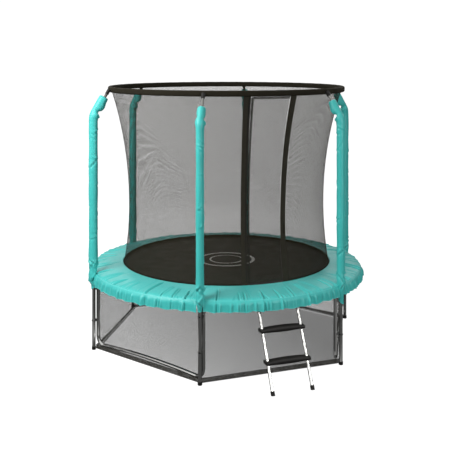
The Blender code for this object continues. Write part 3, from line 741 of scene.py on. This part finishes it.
def pad_relief(out, azimuth):
    """How far the cover stands above its plain shape: seams between panels, creases, soft foam."""
    relief = np.zeros(np.broadcast(out, azimuth).shape)
    across = (out - PAD_INNER) / (FOLD_OUT - PAD_INNER)
    from_middle = (azimuth / SECTOR + 0.5) % 1.0 - 0.5
    to_seam = (0.5 - np.abs(from_middle)) * SECTOR * out
    relief += 0.0025 * np.sin(np.pi * np.clip(across, 0, 1)) * (1 - np.exp(-(to_seam / 0.05) ** 2))
    relief -= 0.0028 * np.exp(-(to_seam / 0.004) ** 2)
    relief += 0.0012 * np.sin(23 * azimuth + 9 * out) * np.sin(13 * azimuth - 21 * out)
    for fold in PAD_FOLDS + PAD_TUCKS:
        lean = fold.slant * (out - FOLD_OUT)
        offset = fold.side * (turn_between(azimuth, fold.azimuth) * out - lean)
        inside = smoothstep((out - fold.reach) / 0.09)
        relief += inside * crease(0.0, offset, 1.0, fold.width * (0.6 + 0.4 * inside), fold.depth)
    return relief


def edge_limit(azimuth):
    """Largest distance out at an azimuth that stays clear of the poles' sleeves."""
    limit = np.full(np.shape(azimuth), FAR)
    for degrees in POLE_PLACES.values():
        offset = turn_between(azimuth, math.radians(degrees)) * POLE_OUT
        near = np.abs(offset) < NOTCH
        depth = np.sqrt(np.clip(NOTCH ** 2 - offset ** 2, 0, None))
        limit = np.where(near, np.minimum(limit, POLE_OUT - depth), limit)
    return limit


# The cover's lines, as (distance beyond the pad's inner edge, height above the mat).
PAD_RIM = ((0.0035, 0.0025), (0.0, 0.0055), (-0.0010, 0.0095), (0.0010, 0.0135), (0.0050, 0.0150),
           (0.0100, 0.0135), (0.0130, 0.0125))
PAD_TOP = ((0.0130, 0.0125), (0.1080, 0.0065), (0.2180, -0.0070), (0.2530, -0.0130), (0.2700, -0.0190),
           (0.2800, -0.0270))
PAD_UNDER = ((0.0, 0.0020), (0.0230, 0.0020), (0.2180, -0.0205), (0.2510, -0.0225), (0.2800, -0.0360))


def pad_line(line):
    """Such a line as distances out and heights."""
    beyond, above = np.array(line).T
    return PAD_INNER + beyond, MAT_TOP + above


def build_pad():
    """The pad in panels: a welt at its inner edge, a creased top, and a flat underside."""
    rim_out, rim_height = pad_line(PAD_RIM)
    top_out = np.concatenate([np.linspace(PAD_INNER + 0.017, FOLD_OUT - 0.022, 44),
                              np.linspace(FOLD_OUT - 0.018, FOLD_OUT, 5)])
    top_height = np.interp(top_out, *pad_line(PAD_TOP))
    for index in range(SECTORS):
        middle = index * SECTOR
        azimuth = np.linspace(middle - SECTOR / 2, middle + SECTOR / 2, 121)[:, None]
        limit = edge_limit(azimuth)
        out = np.minimum(np.concatenate([rim_out, top_out])[None, :], limit)
        plain = np.concatenate([rim_height, top_height])[None, :]
        relief_share = np.concatenate([np.zeros(len(rim_out)), smoothstep((top_out - PAD_INNER) / 0.05)])
        top = ring(out, azimuth, plain + pad_relief(out, azimuth) * relief_share[None, :])
        under_out = np.minimum(np.concatenate([rim_out + 0.004, top_out])[None, :], limit)
        under = ring(under_out, azimuth, np.interp(under_out, *pad_line(PAD_UNDER)))
        piece = sheet(f"pad_panel_{index + 1:02d}", top, under, COVER)
        follow_mat(piece, middle)
        if index == 0:
            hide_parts("spring_pad")


FRILL_MIDDLE = math.radians(78)   # the skirt is gathered most around here
SKIRT_TOP = MAT_TOP - 0.0255
SKIRT_CLOTH = 0.0016
SKIRT_COLUMN = 0.0035


def skirt_sway(azimuth):
    """How far the skirt's hem swings out: pressed pleats, and a finer frill where it is gathered."""
    gathered = np.exp(-(turn_between(azimuth, FRILL_MIDDLE) / 0.62) ** 2)
    sway = (0.0003 + 0.0060 * gathered) * np.sin(250 * azimuth + 2.5 * np.sin(9 * azimuth))
    sway += 0.0020 * np.sin(31 * azimuth + 2 * np.sin(5 * azimuth))
    for fold in SKIRT_PLEATS:
        offset = fold.side * turn_between(azimuth, fold.azimuth) * PAD_OUT
        sway += fold.depth * np.exp(-np.abs(offset / (1.3 * fold.width)) ** 3)
        sway -= 0.45 * fold.depth * np.exp(-((offset - 2.6 * fold.width) / (1.6 * fold.width)) ** 2)
    for fold in PAD_FOLDS:
        offset = fold.side * turn_between(azimuth, fold.azimuth) * PAD_OUT
        sway += crease(0.0, offset, 1.0, fold.width, 0.8 * fold.depth)
    return sway


def pleat_ease(azimuth, drop):
    """Each pleat opens at its own height below the fold."""
    ease = smoothstep(drop * 1.6)
    return ease * (1 + 0.25 * np.sin(37 * azimuth))


def skirt_panel(name, first, last):
    """A stretch of the hanging skirt between two azimuths."""
    columns = max(8, int((last - first) * PAD_OUT / SKIRT_COLUMN))
    azimuth = np.linspace(first, last, columns)[:, None]
    drop = np.linspace(0, 1, 17)[None, :]
    hem = SKIRT_BOTTOM - 0.002 + 0.0035 * np.sin(61 * azimuth) + 0.0025 * np.sin(37 * azimuth + 1)
    height = SKIRT_TOP + (hem - SKIRT_TOP) * drop
    plain = FOLD_OUT - 0.002 + 0.0125 * (1 - (1 - np.clip(drop * 2.4, 0, 1)) ** 2) + 0.009 * drop
    swing = pleat_ease(azimuth, drop) * skirt_sway(azimuth)
    stitch = 0.0010 * np.exp(-((drop - 0.90) / 0.03) ** 2)
    outer = ring(plain + swing - stitch, azimuth, height)
    inner = ring(plain + swing - SKIRT_CLOTH, azimuth, height)
    return sheet(name, outer, inner, COVER)


FLAP_HALF = math.radians(9.5)     # the skirt over the ladder's hooks, a piece of its own
FLAP_EASE = math.radians(16.0)    # and the cloth beside it, pieces of their own


def build_skirt():
    """The skirt between the poles, and over the ladder a flap with eased cloth on both sides."""
    edge = math.asin(SLIT / POLE_OUT)
    places = sorted(POLE_PLACES.values())
    for number, degrees in enumerate(places[:-1]):
        first = math.radians(degrees) + edge
        last = math.radians(places[number + 1]) - edge
        piece = skirt_panel(f"skirt_{number + 1}", first, last)
        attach(piece, "frame")
    ends = math.radians(places[0]) - edge
    for side, name in ((-1, "left"), (1, "right")):
        span = sorted((side * FLAP_EASE, side * ends))
        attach(skirt_panel(f"skirt_front_{name}", *span), "frame")
        ease = skirt_panel(f"skirt_ease_{name}", *sorted((side * FLAP_HALF, side * FLAP_EASE)))
        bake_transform(ease)
    flap = skirt_panel("skirt_flap", -FLAP_HALF, FLAP_HALF)
    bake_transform(flap)


# ---- sleeves
POLE_LEAN = math.radians(31)
BEND_HEIGHT = CAD_BOX[1].z - 0.247
BEND_RADIUS = 0.12
RAIL_SIDE_LIMIT = 0.0203      # a sleeve's reach towards the rail, beside it
BESIDE_RAIL = MAT_TOP + 0.022 # below this height it is beside the rail
SLEEVE_BORE = 0.0172
SLEEVE_CLOTH = 0.0016
BUNCH_TOP = MAT_TOP + 0.112   # below this height a sleeve is bunched up
PINCH_LOW = BEND_HEIGHT - 0.113    # above this height it is pinched by the pole's bend
ROW_GAP = 0.005
INWARD = math.pi


def pole_line(heights):
    """Distance out and lean of a pole's centre line at each height."""
    tangent = BEND_RADIUS * math.tan(POLE_LEAN / 2)
    low = BEND_HEIGHT - tangent
    high = low + BEND_RADIUS * math.sin(POLE_LEAN)
    on_arc = np.clip((heights - low) / BEND_RADIUS, 0, math.sin(POLE_LEAN))
    lean = np.arcsin(on_arc)
    inset = BEND_RADIUS * (1 - np.cos(lean)) + np.clip(heights - high, 0, None) * math.tan(POLE_LEAN)
    return POLE_OUT - inset, lean


# How one sleeve sits: its lower end, the droop of its tip, its upper end, and its half widths.
Sleeve = namedtuple("Sleeve", "bottom tip top outwards inwards sideways")
SLEEVES = {
    "front_right": Sleeve(0.556, 0.045, 2.200, 0.036, 0.035, 0.035),
    "right": Sleeve(0.566, 0.030, 2.212, 0.037, 0.033, 0.034),
    "back_right": Sleeve(0.580, 0.010, 2.214, 0.036, 0.032, 0.034),
    "back_left": Sleeve(0.572, 0.015, 2.206, 0.043, 0.032, 0.035),
    "left": Sleeve(0.562, 0.026, 2.214, 0.045, 0.033, 0.035),
    "front_left": Sleeve(0.580, 0.004, 2.170, 0.036, 0.032, 0.0325),
}


def sleeve_folds(radius, angle, along, seed, sideways):
    """Adds folds to a sleeve: pinched at the pole's bend, twisted at its foot, creased between."""
    picker = random.Random(seed)

    def place(height, facing, slant=0.0):
        """Distances along and across a fold at this height and facing."""
        side = turn_between(angle, facing) * sideways
        up = along - height
        run = side * math.cos(slant) + up * math.sin(slant)
        across = up * math.cos(slant) - side * math.sin(slant)
        return run, across

    # At the pole's bend: a deep pinch on the inside, swollen above, below and at its ends.
    bend = BEND_HEIGHT + 0.042 + picker.uniform(-0.012, 0.012)
    radius += bulge(*place(bend + 0.050, INWARD + 0.2), 0.035, 0.030, 0.013)
    radius += bulge(*place(bend - 0.040, INWARD - 0.2), 0.035, 0.026, 0.013)
    radius -= bulge(*place(bend, INWARD, picker.uniform(-0.15, 0.15)), 0.052, 0.0135, 0.031)
    for _ in range(5):
        turn = picker.uniform(-1.4, 1.4)
        slant = 0.9 * np.sign(turn) + picker.uniform(-0.3, 0.3)
        radius += crease(*place(bend + picker.uniform(-0.07, 0.06), INWARD + turn, slant),
                         0.030, picker.uniform(0.007, 0.010), picker.uniform(0.002, 0.004))
    for turn in (-1.45, 1.45):
        radius += bulge(*place(bend - 0.030, INWARD + turn), 0.030, 0.028, 0.007)
    # Up the pole: five groups of short creases, and seven long ones.
    for number in range(5):
        height = 0.92 + 0.25 * number + picker.uniform(-0.09, 0.09)
        facing = picker.uniform(0, math.tau)
        for part in range(4):
            radius += crease(*place(height + 0.022 * part, facing + 0.6 * part, picker.uniform(-1.1, 1.1)),
                             picker.uniform(0.020, 0.055), picker.uniform(0.006, 0.011),
                             picker.uniform(0.0015, 0.0050))
    for _ in range(7):
        turn = picker.uniform(0, math.tau)
        radius += crease(*place(picker.uniform(0.85, 1.95), turn, math.pi / 2 + picker.uniform(-0.15, 0.15)),
                         picker.uniform(0.08, 0.20), picker.uniform(0.006, 0.010),
                         picker.uniform(0.0010, 0.0026))
    # At the foot: slanting creases to both sides in turn.
    for number in range(12):
        slant = (0.85 if number % 2 else -0.85) + picker.uniform(-0.2, 0.2)
        radius += crease(*place(picker.uniform(0.60, 0.78), number * math.tau / 5.2, slant),
                         0.034, picker.uniform(0.006, 0.010), picker.uniform(0.004, 0.0085))
    # The cover's seam runs up the inside.
    to_seam = turn_between(angle, INWARD) * sideways
    radius += 0.0016 * np.exp(-(to_seam / 0.0035) ** 2)
    return radius


def build_sleeve(name, degrees, seed, shape):
    """A foam sleeve in its cloth cover, folded at the pole's bend and bunched up at the pad."""
    heights = np.concatenate([np.linspace(shape.bottom, BUNCH_TOP, 70),
                              np.linspace(BUNCH_TOP + ROW_GAP, PINCH_LOW, 190),
                              np.linspace(PINCH_LOW + ROW_GAP, shape.top - 0.001, 80), [shape.top]])
    out, lean = pole_line(heights)
    sides = 56
    angle = circle(sides)[None, :]
    along = heights[:, None]
    facing_out = np.cos(angle)
    reach = np.where(facing_out > 0, shape.outwards, shape.inwards)
    base = 1 / np.sqrt((facing_out / reach) ** 2 + (np.sin(angle) / shape.sideways) ** 2)

    bunch = smoothstep((BUNCH_TOP - along) / 0.09)
    neck = smoothstep((0.665 - along) / 0.10)
    swell = 1 + 0.08 * bunch * np.sin((BUNCH_TOP - along) * 46 + seed) - 0.42 * neck
    slow = 0.030 * np.sin(along * 9 + seed) + 0.022 * np.sin(along * 23 + 2 * seed)
    radius = base * (swell + slow * (1 - bunch))
    radius = sleeve_folds(radius, angle, along, seed, shape.sideways)

    to_rail = np.where(facing_out < -0.2, -RAIL_SIDE_LIMIT / np.minimum(facing_out, -0.2), FAR)
    radius = np.where(along < BESIDE_RAIL, np.minimum(radius, to_rail), radius)
    radius = np.maximum(radius, SLEEVE_BORE + SLEEVE_CLOTH)
    ends = np.clip((shape.top - along) / 0.010, 0.0, 1.0)
    radius = SLEEVE_BORE + (radius - SLEEVE_BORE) * (0.62 + 0.38 * np.sqrt(ends))

    droop = shape.tip * smoothstep((0.68 - along) / 0.09) * (0.5 + 0.5 * facing_out)
    azimuth = math.radians(degrees)
    sideways = np.array([math.cos(azimuth), math.sin(azimuth), 0.0])
    skins = []
    for distance, drop in ((radius, droop), (np.full_like(radius, SLEEVE_BORE), 0.0)):
        from_axis = distance * facing_out
        line_out = out[:, None] + from_axis * np.cos(lean)[:, None]
        lift = from_axis * np.sin(lean)[:, None] - drop
        points = ring(line_out, azimuth, along + lift)
        points += (distance * np.sin(angle))[..., None] * sideways
        skins.append(points.reshape(-1, 3))
    skin = grid_faces(len(heights), sides, False)
    shift = len(heights) * sides
    faces = skin + [tuple(shift + index for index in face[::-1]) for face in skin]
    last = shift - sides
    for j in range(sides):
        k = (j + 1) % sides
        faces.append((j, shift + j, shift + k, k))
        faces.append((last + k, last + shift + k, last + shift + j, last + j))
    piece = add_mesh(f"sleeve_{name}", np.concatenate(skins), faces, COVER)
    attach(piece, "frame")
    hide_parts(f"pole_sleeve_{name}")


def build_sleeves():
    """A sleeve on each pole, each with its own folds."""
    for seed, (name, degrees) in enumerate(POLE_PLACES.items()):
        build_sleeve(name, degrees, seed + 3, SLEEVES[name])


# ---- lower net
LOWER_CORNER = POLE_OUT - 0.053    # distances out of the net's corners, inside the legs
HEM_CORNER = POLE_OUT - 0.0205     # and of the hem's, outside them
LOWER_BULGE = POLE_OUT - 0.112
BEND_START = 0.088                 # the bays hang straight below this height and round out above it
HEM_TOP = 0.047


def bay_out(azimuth, corner, share):
    """Distance out of a net hung between six corners: straight bays, rounding out with the share."""
    bay = math.pi / 3
    local = (azimuth % bay) - bay / 2
    straight = corner * math.cos(bay / 2) / np.cos(local)
    rounded = corner + (LOWER_BULGE - corner) * np.cos(3 * local)
    return straight + (rounded - straight) * share


def build_lower_net():
    """The net behind the legs, its strip under the leg bars and the dark hem turned up outside."""
    along = circle(360)[:, None]
    azimuth = along + math.pi / 6
    floor = LOWER_NET_LOW.z + 0.001
    height = np.linspace(floor, LOWER_NET_HIGH.z, 22)[None, :]
    share = np.clip((height - BEND_START) / (LOWER_NET_HIGH.z - BEND_START), 0, 1)
    upright = bay_out(along, LOWER_CORNER, share)
    net = upright_sheet("lower_net_cloth", upright, azimuth, height, NET_THICKNESS, LOWER_NET, True)
    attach(net, "frame")
    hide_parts("lower_net")

    across = np.linspace(0, 1, 9)[None, :]
    inside = bay_out(along, LOWER_CORNER, 0.0)
    outside = bay_out(along, HEM_CORNER, 0.0)
    floor_out = outside + (inside - outside) * across
    strip = sheet("lower_net_floor_strip", ring(floor_out, azimuth, floor + 0.0008),
                  ring(floor_out, azimuth, floor - 0.0008), LOWER_NET, ring_path=True)
    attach(strip, "frame")

    behind = smoothstep((np.abs(turn_between(azimuth, 0.0)) - math.radians(75)) / math.radians(40))
    rise = floor + (HEM_TOP * (1 - 0.42 * behind) - floor) * np.linspace(0, 1, 7)[None, :]
    ripple = 0.0012 * np.sin(90 * azimuth) * (rise - floor) / HEM_TOP
    hem = upright_sheet("lower_net_hem", outside + ripple, azimuth, rise, 0.0020, DOUBLED_NET, True)
    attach(hem, "frame")


# ---- bolts and joints of the poles
WASHER = 0.0016
BOLT_SUNK = 0.0005            # how deep a bolt head sits in its tube
BOLT_HEIGHTS = (0.257, 0.535)
FOOT_JOINT = 0.252


def turned(rows, sides):
    """Points of (reach, lift) rows turned about the Z axis."""
    return [Vector((reach * math.cos(angle), reach * math.sin(angle), lift))
            for reach, lift in rows for angle in circle(sides)]


def hex_head(centre, direction, radius, height):
    """A six-sided bolt head with a chamfered crown, on its washer."""
    turn = direction.to_track_quat('Z', 'Y').to_matrix()
    rows = ((radius * 1.35, 0.0), (radius * 1.35, WASHER), (radius, WASHER), (radius, height - 0.001),
            (radius * 0.82, height), (0.0004, height))
    return [centre + turn @ point for point in turned(rows, 6)], capped_faces(len(rows), 6)


def collar(centre, radius, length, sides=24):
    """A thin ring around an upright tube."""
    inside = radius - 0.001
    rows = ((inside, -length / 2), (radius, -length / 2), (radius, length / 2), (inside, length / 2))
    return [centre + point for point in turned(rows, sides)], grid_faces(len(rows), sides, True)


def build_bolts():
    """Bolt heads where the poles meet the legs, and the joint line of each pole's foot piece."""
    heads = []
    joints = []
    sunk = POLE_RADIUS - BOLT_SUNK
    for degrees in POLE_PLACES.values():
        azimuth = math.radians(degrees)
        outwards = Vector((math.sin(azimuth), -math.cos(azimuth), 0))
        sideways = Vector((math.cos(azimuth), math.sin(azimuth), 0))
        for height in BOLT_HEIGHTS:
            centre = ring_point(POLE_OUT, azimuth, height)
            heads.append(hex_head(centre + outwards * sunk, outwards, 0.0055, 0.005))
            heads.append(hex_head(centre - sideways * sunk, -sideways, 0.0045, 0.004))
        joints.append(collar(ring_point(POLE_OUT, azimuth, FOOT_JOINT), POLE_RADIUS + 0.0006, 0.003))
    for name, shapes in (("pole_bolts", heads), ("pole_joint_rings", joints)):
        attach(join(name, shapes, PLASTIC, smooth_angle=30), "frame")


# ---- ladder
TREAD_HALF = 0.0125           # half the tread's height at its ends
TREAD_CROWN = 0.0095
BLOCK_HALF = 0.0150           # half the height of the block round a rail
BLOCK_LONG = 0.040
TREAD_ROWS = 33               # across the tread, four to a rib
RIB = 0.0011


def build_step(name):
    """A moulded tread: crowned in the middle, ribbed on top, with a block round each rail."""
    low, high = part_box(name)
    half_long = (high.x - low.x) / 2
    half_deep = (high.y - low.y) / 2
    x = np.linspace(-half_long, half_long, 61)[:, None]
    block = smoothstep((np.abs(x) - half_long + BLOCK_LONG) / 0.006)
    crowned = TREAD_HALF + TREAD_CROWN * (1 - (x / half_long) ** 2)
    half_high = np.maximum(crowned, BLOCK_HALF * block + crowned * (1 - block))
    across = np.linspace(-1, 1, TREAD_ROWS)[None, :]
    section = half_high * (0.25 + 0.75 * (1 - np.abs(across) ** 6) ** 0.5)
    ribbed = (np.arange(TREAD_ROWS) % 4 < 2)[None, :] * (np.abs(across) < 0.86)
    depth = half_deep * across * (0.93 + 0.07 * block)
    skins = [np.stack(np.broadcast_arrays(x, depth, height), -1) + (low + high) / 2
             for height in (section + RIB * ribbed * (1 - block), -0.85 * section)]
    piece = sheet(name.replace("ladder_step", "step_tread"), *skins, PLASTIC)
    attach(piece, "ladder")
    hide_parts(name)


def build_ladder():
    """Both treads. The rails, hooks and feet are the frame's own."""
    for name in ("ladder_step_lower", "ladder_step_upper"):
        build_step(name)


# ---- stage
BLACK = (0.0, 0.0, 0.0, 1.0)
WHITE = (1.0, 1.0, 1.0, 1.0)
FLOOR_SIZE = 60.0
FLOOR_SWEEPS = ((-1.25, 0.14, 0.75), (0.45, 0.08, 0.45), (2.6, 0.30, 0.5))   # azimuth, width, brightness
FLOOR_REFLECTED = 0.14        # how bright reflections see it between the sweeps
# SHADE_EDGE bounds a painted shade on the floor, not a cast shadow.
SHADE_EDGE = (1.055, 1.025)   # the shade under the mat begins and is full this far across the bays


def build_floor():
    """A plain pale floor, with a painted shade under the mat that is stronger towards +X.

    Reflections see it dark with bright sweeps, as under studio lamps.
    """
    mesh = bpy.data.meshes.new("floor")
    corners = [(-1, -1, 0), (1, -1, 0), (1, 1, 0), (-1, 1, 0)]
    mesh.from_pydata([(x * FLOOR_SIZE, y * FLOOR_SIZE, z) for x, y, z in corners], [], [(0, 1, 2, 3)])
    floor = bpy.data.objects.new("floor", mesh)
    floor.location.z = CAD_BOX[0].z - 0.0005
    bpy.context.scene.collection.objects.link(floor)
    paint = Paint("pale_floor")
    rays = paint.add("ShaderNodeLightPath").outputs
    azimuth, out, _ = paint.around()
    sweeps = FLOOR_REFLECTED
    for middle, half, strength in FLOOR_SWEEPS:
        offset = paint.math('DIVIDE', paint.math('SUBTRACT', azimuth, middle), half)
        lobe = paint.math('EXPONENT', paint.times(paint.times(offset, offset), -1.0))
        sweeps = paint.math('ADD', sweeps, paint.times(lobe, strength))
    across_bays = 0.0
    for degrees in (0, 60, 120):
        facing = paint.math('SUBTRACT', azimuth, math.radians(degrees))
        reach = paint.math('ABSOLUTE', paint.times(out, paint.math('COSINE', facing)))
        across_bays = paint.math('MAXIMUM', across_bays, reach)
    # Painted shade: under the mat the glow is cut by 36 % at -X up to 70 % at +X.
    painted_shade_strength = paint.level(paint.axes()[0], -0.9, 0.7, 0.36, 0.70)
    pale = paint.math('SUBTRACT', 1.0, paint.times(paint.level(across_bays, *SHADE_EDGE), painted_shade_strength))
    mirrored = paint.times(rays["Is Glossy Ray"], sweeps)
    glow = paint.math('ADD', mirrored, paint.times(rays["Is Camera Ray"], pale))
    paint.surface(Base_Color=paint.mix(rays["Is Glossy Ray"], (0.24, 0.24, 0.24), (0.02, 0.02, 0.02)),
                  Roughness=0.9, Specular_IOR_Level=0.0, Emission_Color=WHITE,
                  Emission_Strength=glow)
    mesh.materials.append(paint.material)


AMBIENT = 0.22
BACKDROP = 1.05               # how bright the camera sees the surround
SKY_GLOSS_LOW = 0.06
SKY_GLOSS_HIGH = 2.0
SOFT_BOX_LOW = 0.26           # a ring of soft boxes, by the height of a reflected ray
SOFT_BOX_HIGH = 0.46
SOFT_BOX_EDGE = 0.02
SOFT_BOX_STRENGTH = 2.0


def build_world():
    """An even pale surround; reflections see a darker room that is bright overhead."""
    world = bpy.data.worlds.new("studio")
    bpy.context.scene.world = world
    world.use_nodes = True
    nodes = Nodes(world.node_tree)
    rays = nodes.add("ShaderNodeLightPath").outputs
    place = nodes.add("ShaderNodeTexCoord").outputs["Generated"]
    height = nodes.add("ShaderNodeSeparateXYZ", {"Vector": place}).outputs["Z"]
    overhead = nodes.level(height, 0.25, 0.80, SKY_GLOSS_LOW, SKY_GLOSS_HIGH)
    boxes = nodes.add("ShaderNodeValToRGB", {"Fac": height})
    stops = boxes.color_ramp.elements
    for index, position in enumerate((SOFT_BOX_LOW, SOFT_BOX_HIGH)):
        stops[index].position = position
        stops[index].color = BLACK
    for position in (SOFT_BOX_LOW + SOFT_BOX_EDGE, SOFT_BOX_HIGH - SOFT_BOX_EDGE):
        stops.new(position).color = WHITE
    room = nodes.add("ShaderNodeMath", {0: boxes.outputs["Color"], 1: SOFT_BOX_STRENGTH, 2: overhead},
                     operation='MULTIPLY_ADD').outputs[0]
    lit = nodes.add("ShaderNodeMix", {"Factor": rays["Is Glossy Ray"], 2: AMBIENT, 3: room}).outputs[0]
    seen = nodes.add("ShaderNodeMix", {"Factor": rays["Is Camera Ray"], 2: lit, 3: BACKDROP}).outputs[0]
    background = world.node_tree.nodes["Background"]
    nodes.put(background, "Color", WHITE)
    nodes.put(background, "Strength", seen)


def add_light(name, location, target, size, power, mirrored=True):
    """A square soft lamp that looks at a target. One that isn't mirrored leaves no highlights."""
    light = bpy.data.lights.new(name, 'AREA')
    light.shape = 'SQUARE'
    light.size = size
    light.energy = power
    lamp = bpy.data.objects.new(name, light)
    lamp.location = location
    lamp.visible_camera = False
    lamp.visible_glossy = mirrored
    lamp.rotation_euler = (Vector(target) - Vector(location)).to_track_quat('-Z', 'Y').to_euler()
    bpy.context.scene.collection.objects.link(lamp)


def build_lights():
    """Soft light from the left, from the front and from behind."""
    aim = (CENTRE_X, CENTRE_Y, 1.1)
    add_light("key", (CENTRE_X - 3.5, CENTRE_Y - 1.3, 3.4), aim, 2.2, 152)
    add_light("fill", (CENTRE_X + 1.5, CENTRE_Y - 6.4, 2.3), aim, 2.0, 108)
    add_light("back", (CENTRE_X + 2.0, CENTRE_Y + 6.0, 2.6), aim, 2.0, 85, mirrored=False)


CAMERA_DISTANCE = 7.752       # from the centre line
CAMERA_HEIGHT = 2.594
CAMERA_TURN = math.radians(-20.4)
LENS = 66.61
SENSOR = 36.0
LENS_DROP = -0.3795           # the lens is shifted down, so that uprights stay parallel
LENS_SIDE = -0.003


def build_camera():
    """A level camera with a dropped lens. Views from elsewhere turn it, and then it has no drop."""
    camera = bpy.data.cameras.new("camera")
    camera.lens = LENS
    camera.sensor_width = SENSOR
    camera.shift_x = LENS_SIDE
    eye = bpy.data.objects.new("camera", camera)
    eye.location = ring_point(CAMERA_DISTANCE, CAMERA_TURN, CAMERA_HEIGHT)
    eye.rotation_euler = (math.radians(90), 0, CAMERA_TURN)
    bpy.context.scene.collection.objects.link(eye)
    bpy.context.scene.camera = eye
    drop = camera.driver_add("shift_y").driver
    mode = drop.variables.new()
    mode.name = "level"
    mode.targets[0].id = eye
    mode.targets[0].data_path = "rotation_mode"
    drop.type = 'SCRIPTED'
    drop.expression = f"{LENS_DROP} * (level > 0.5)"


paint_frame_nodes()
build_band()
build_net()
build_straps()
build_zip()
build_door()
build_door_flaps()
build_mat()
build_springs()
build_pad()
build_skirt()
build_sleeves()
build_lower_net()
build_bolts()
build_ladder()
build_floor()
build_world()
build_lights()
build_camera()
bpy.context.scene.view_settings.view_transform = 'Standard'
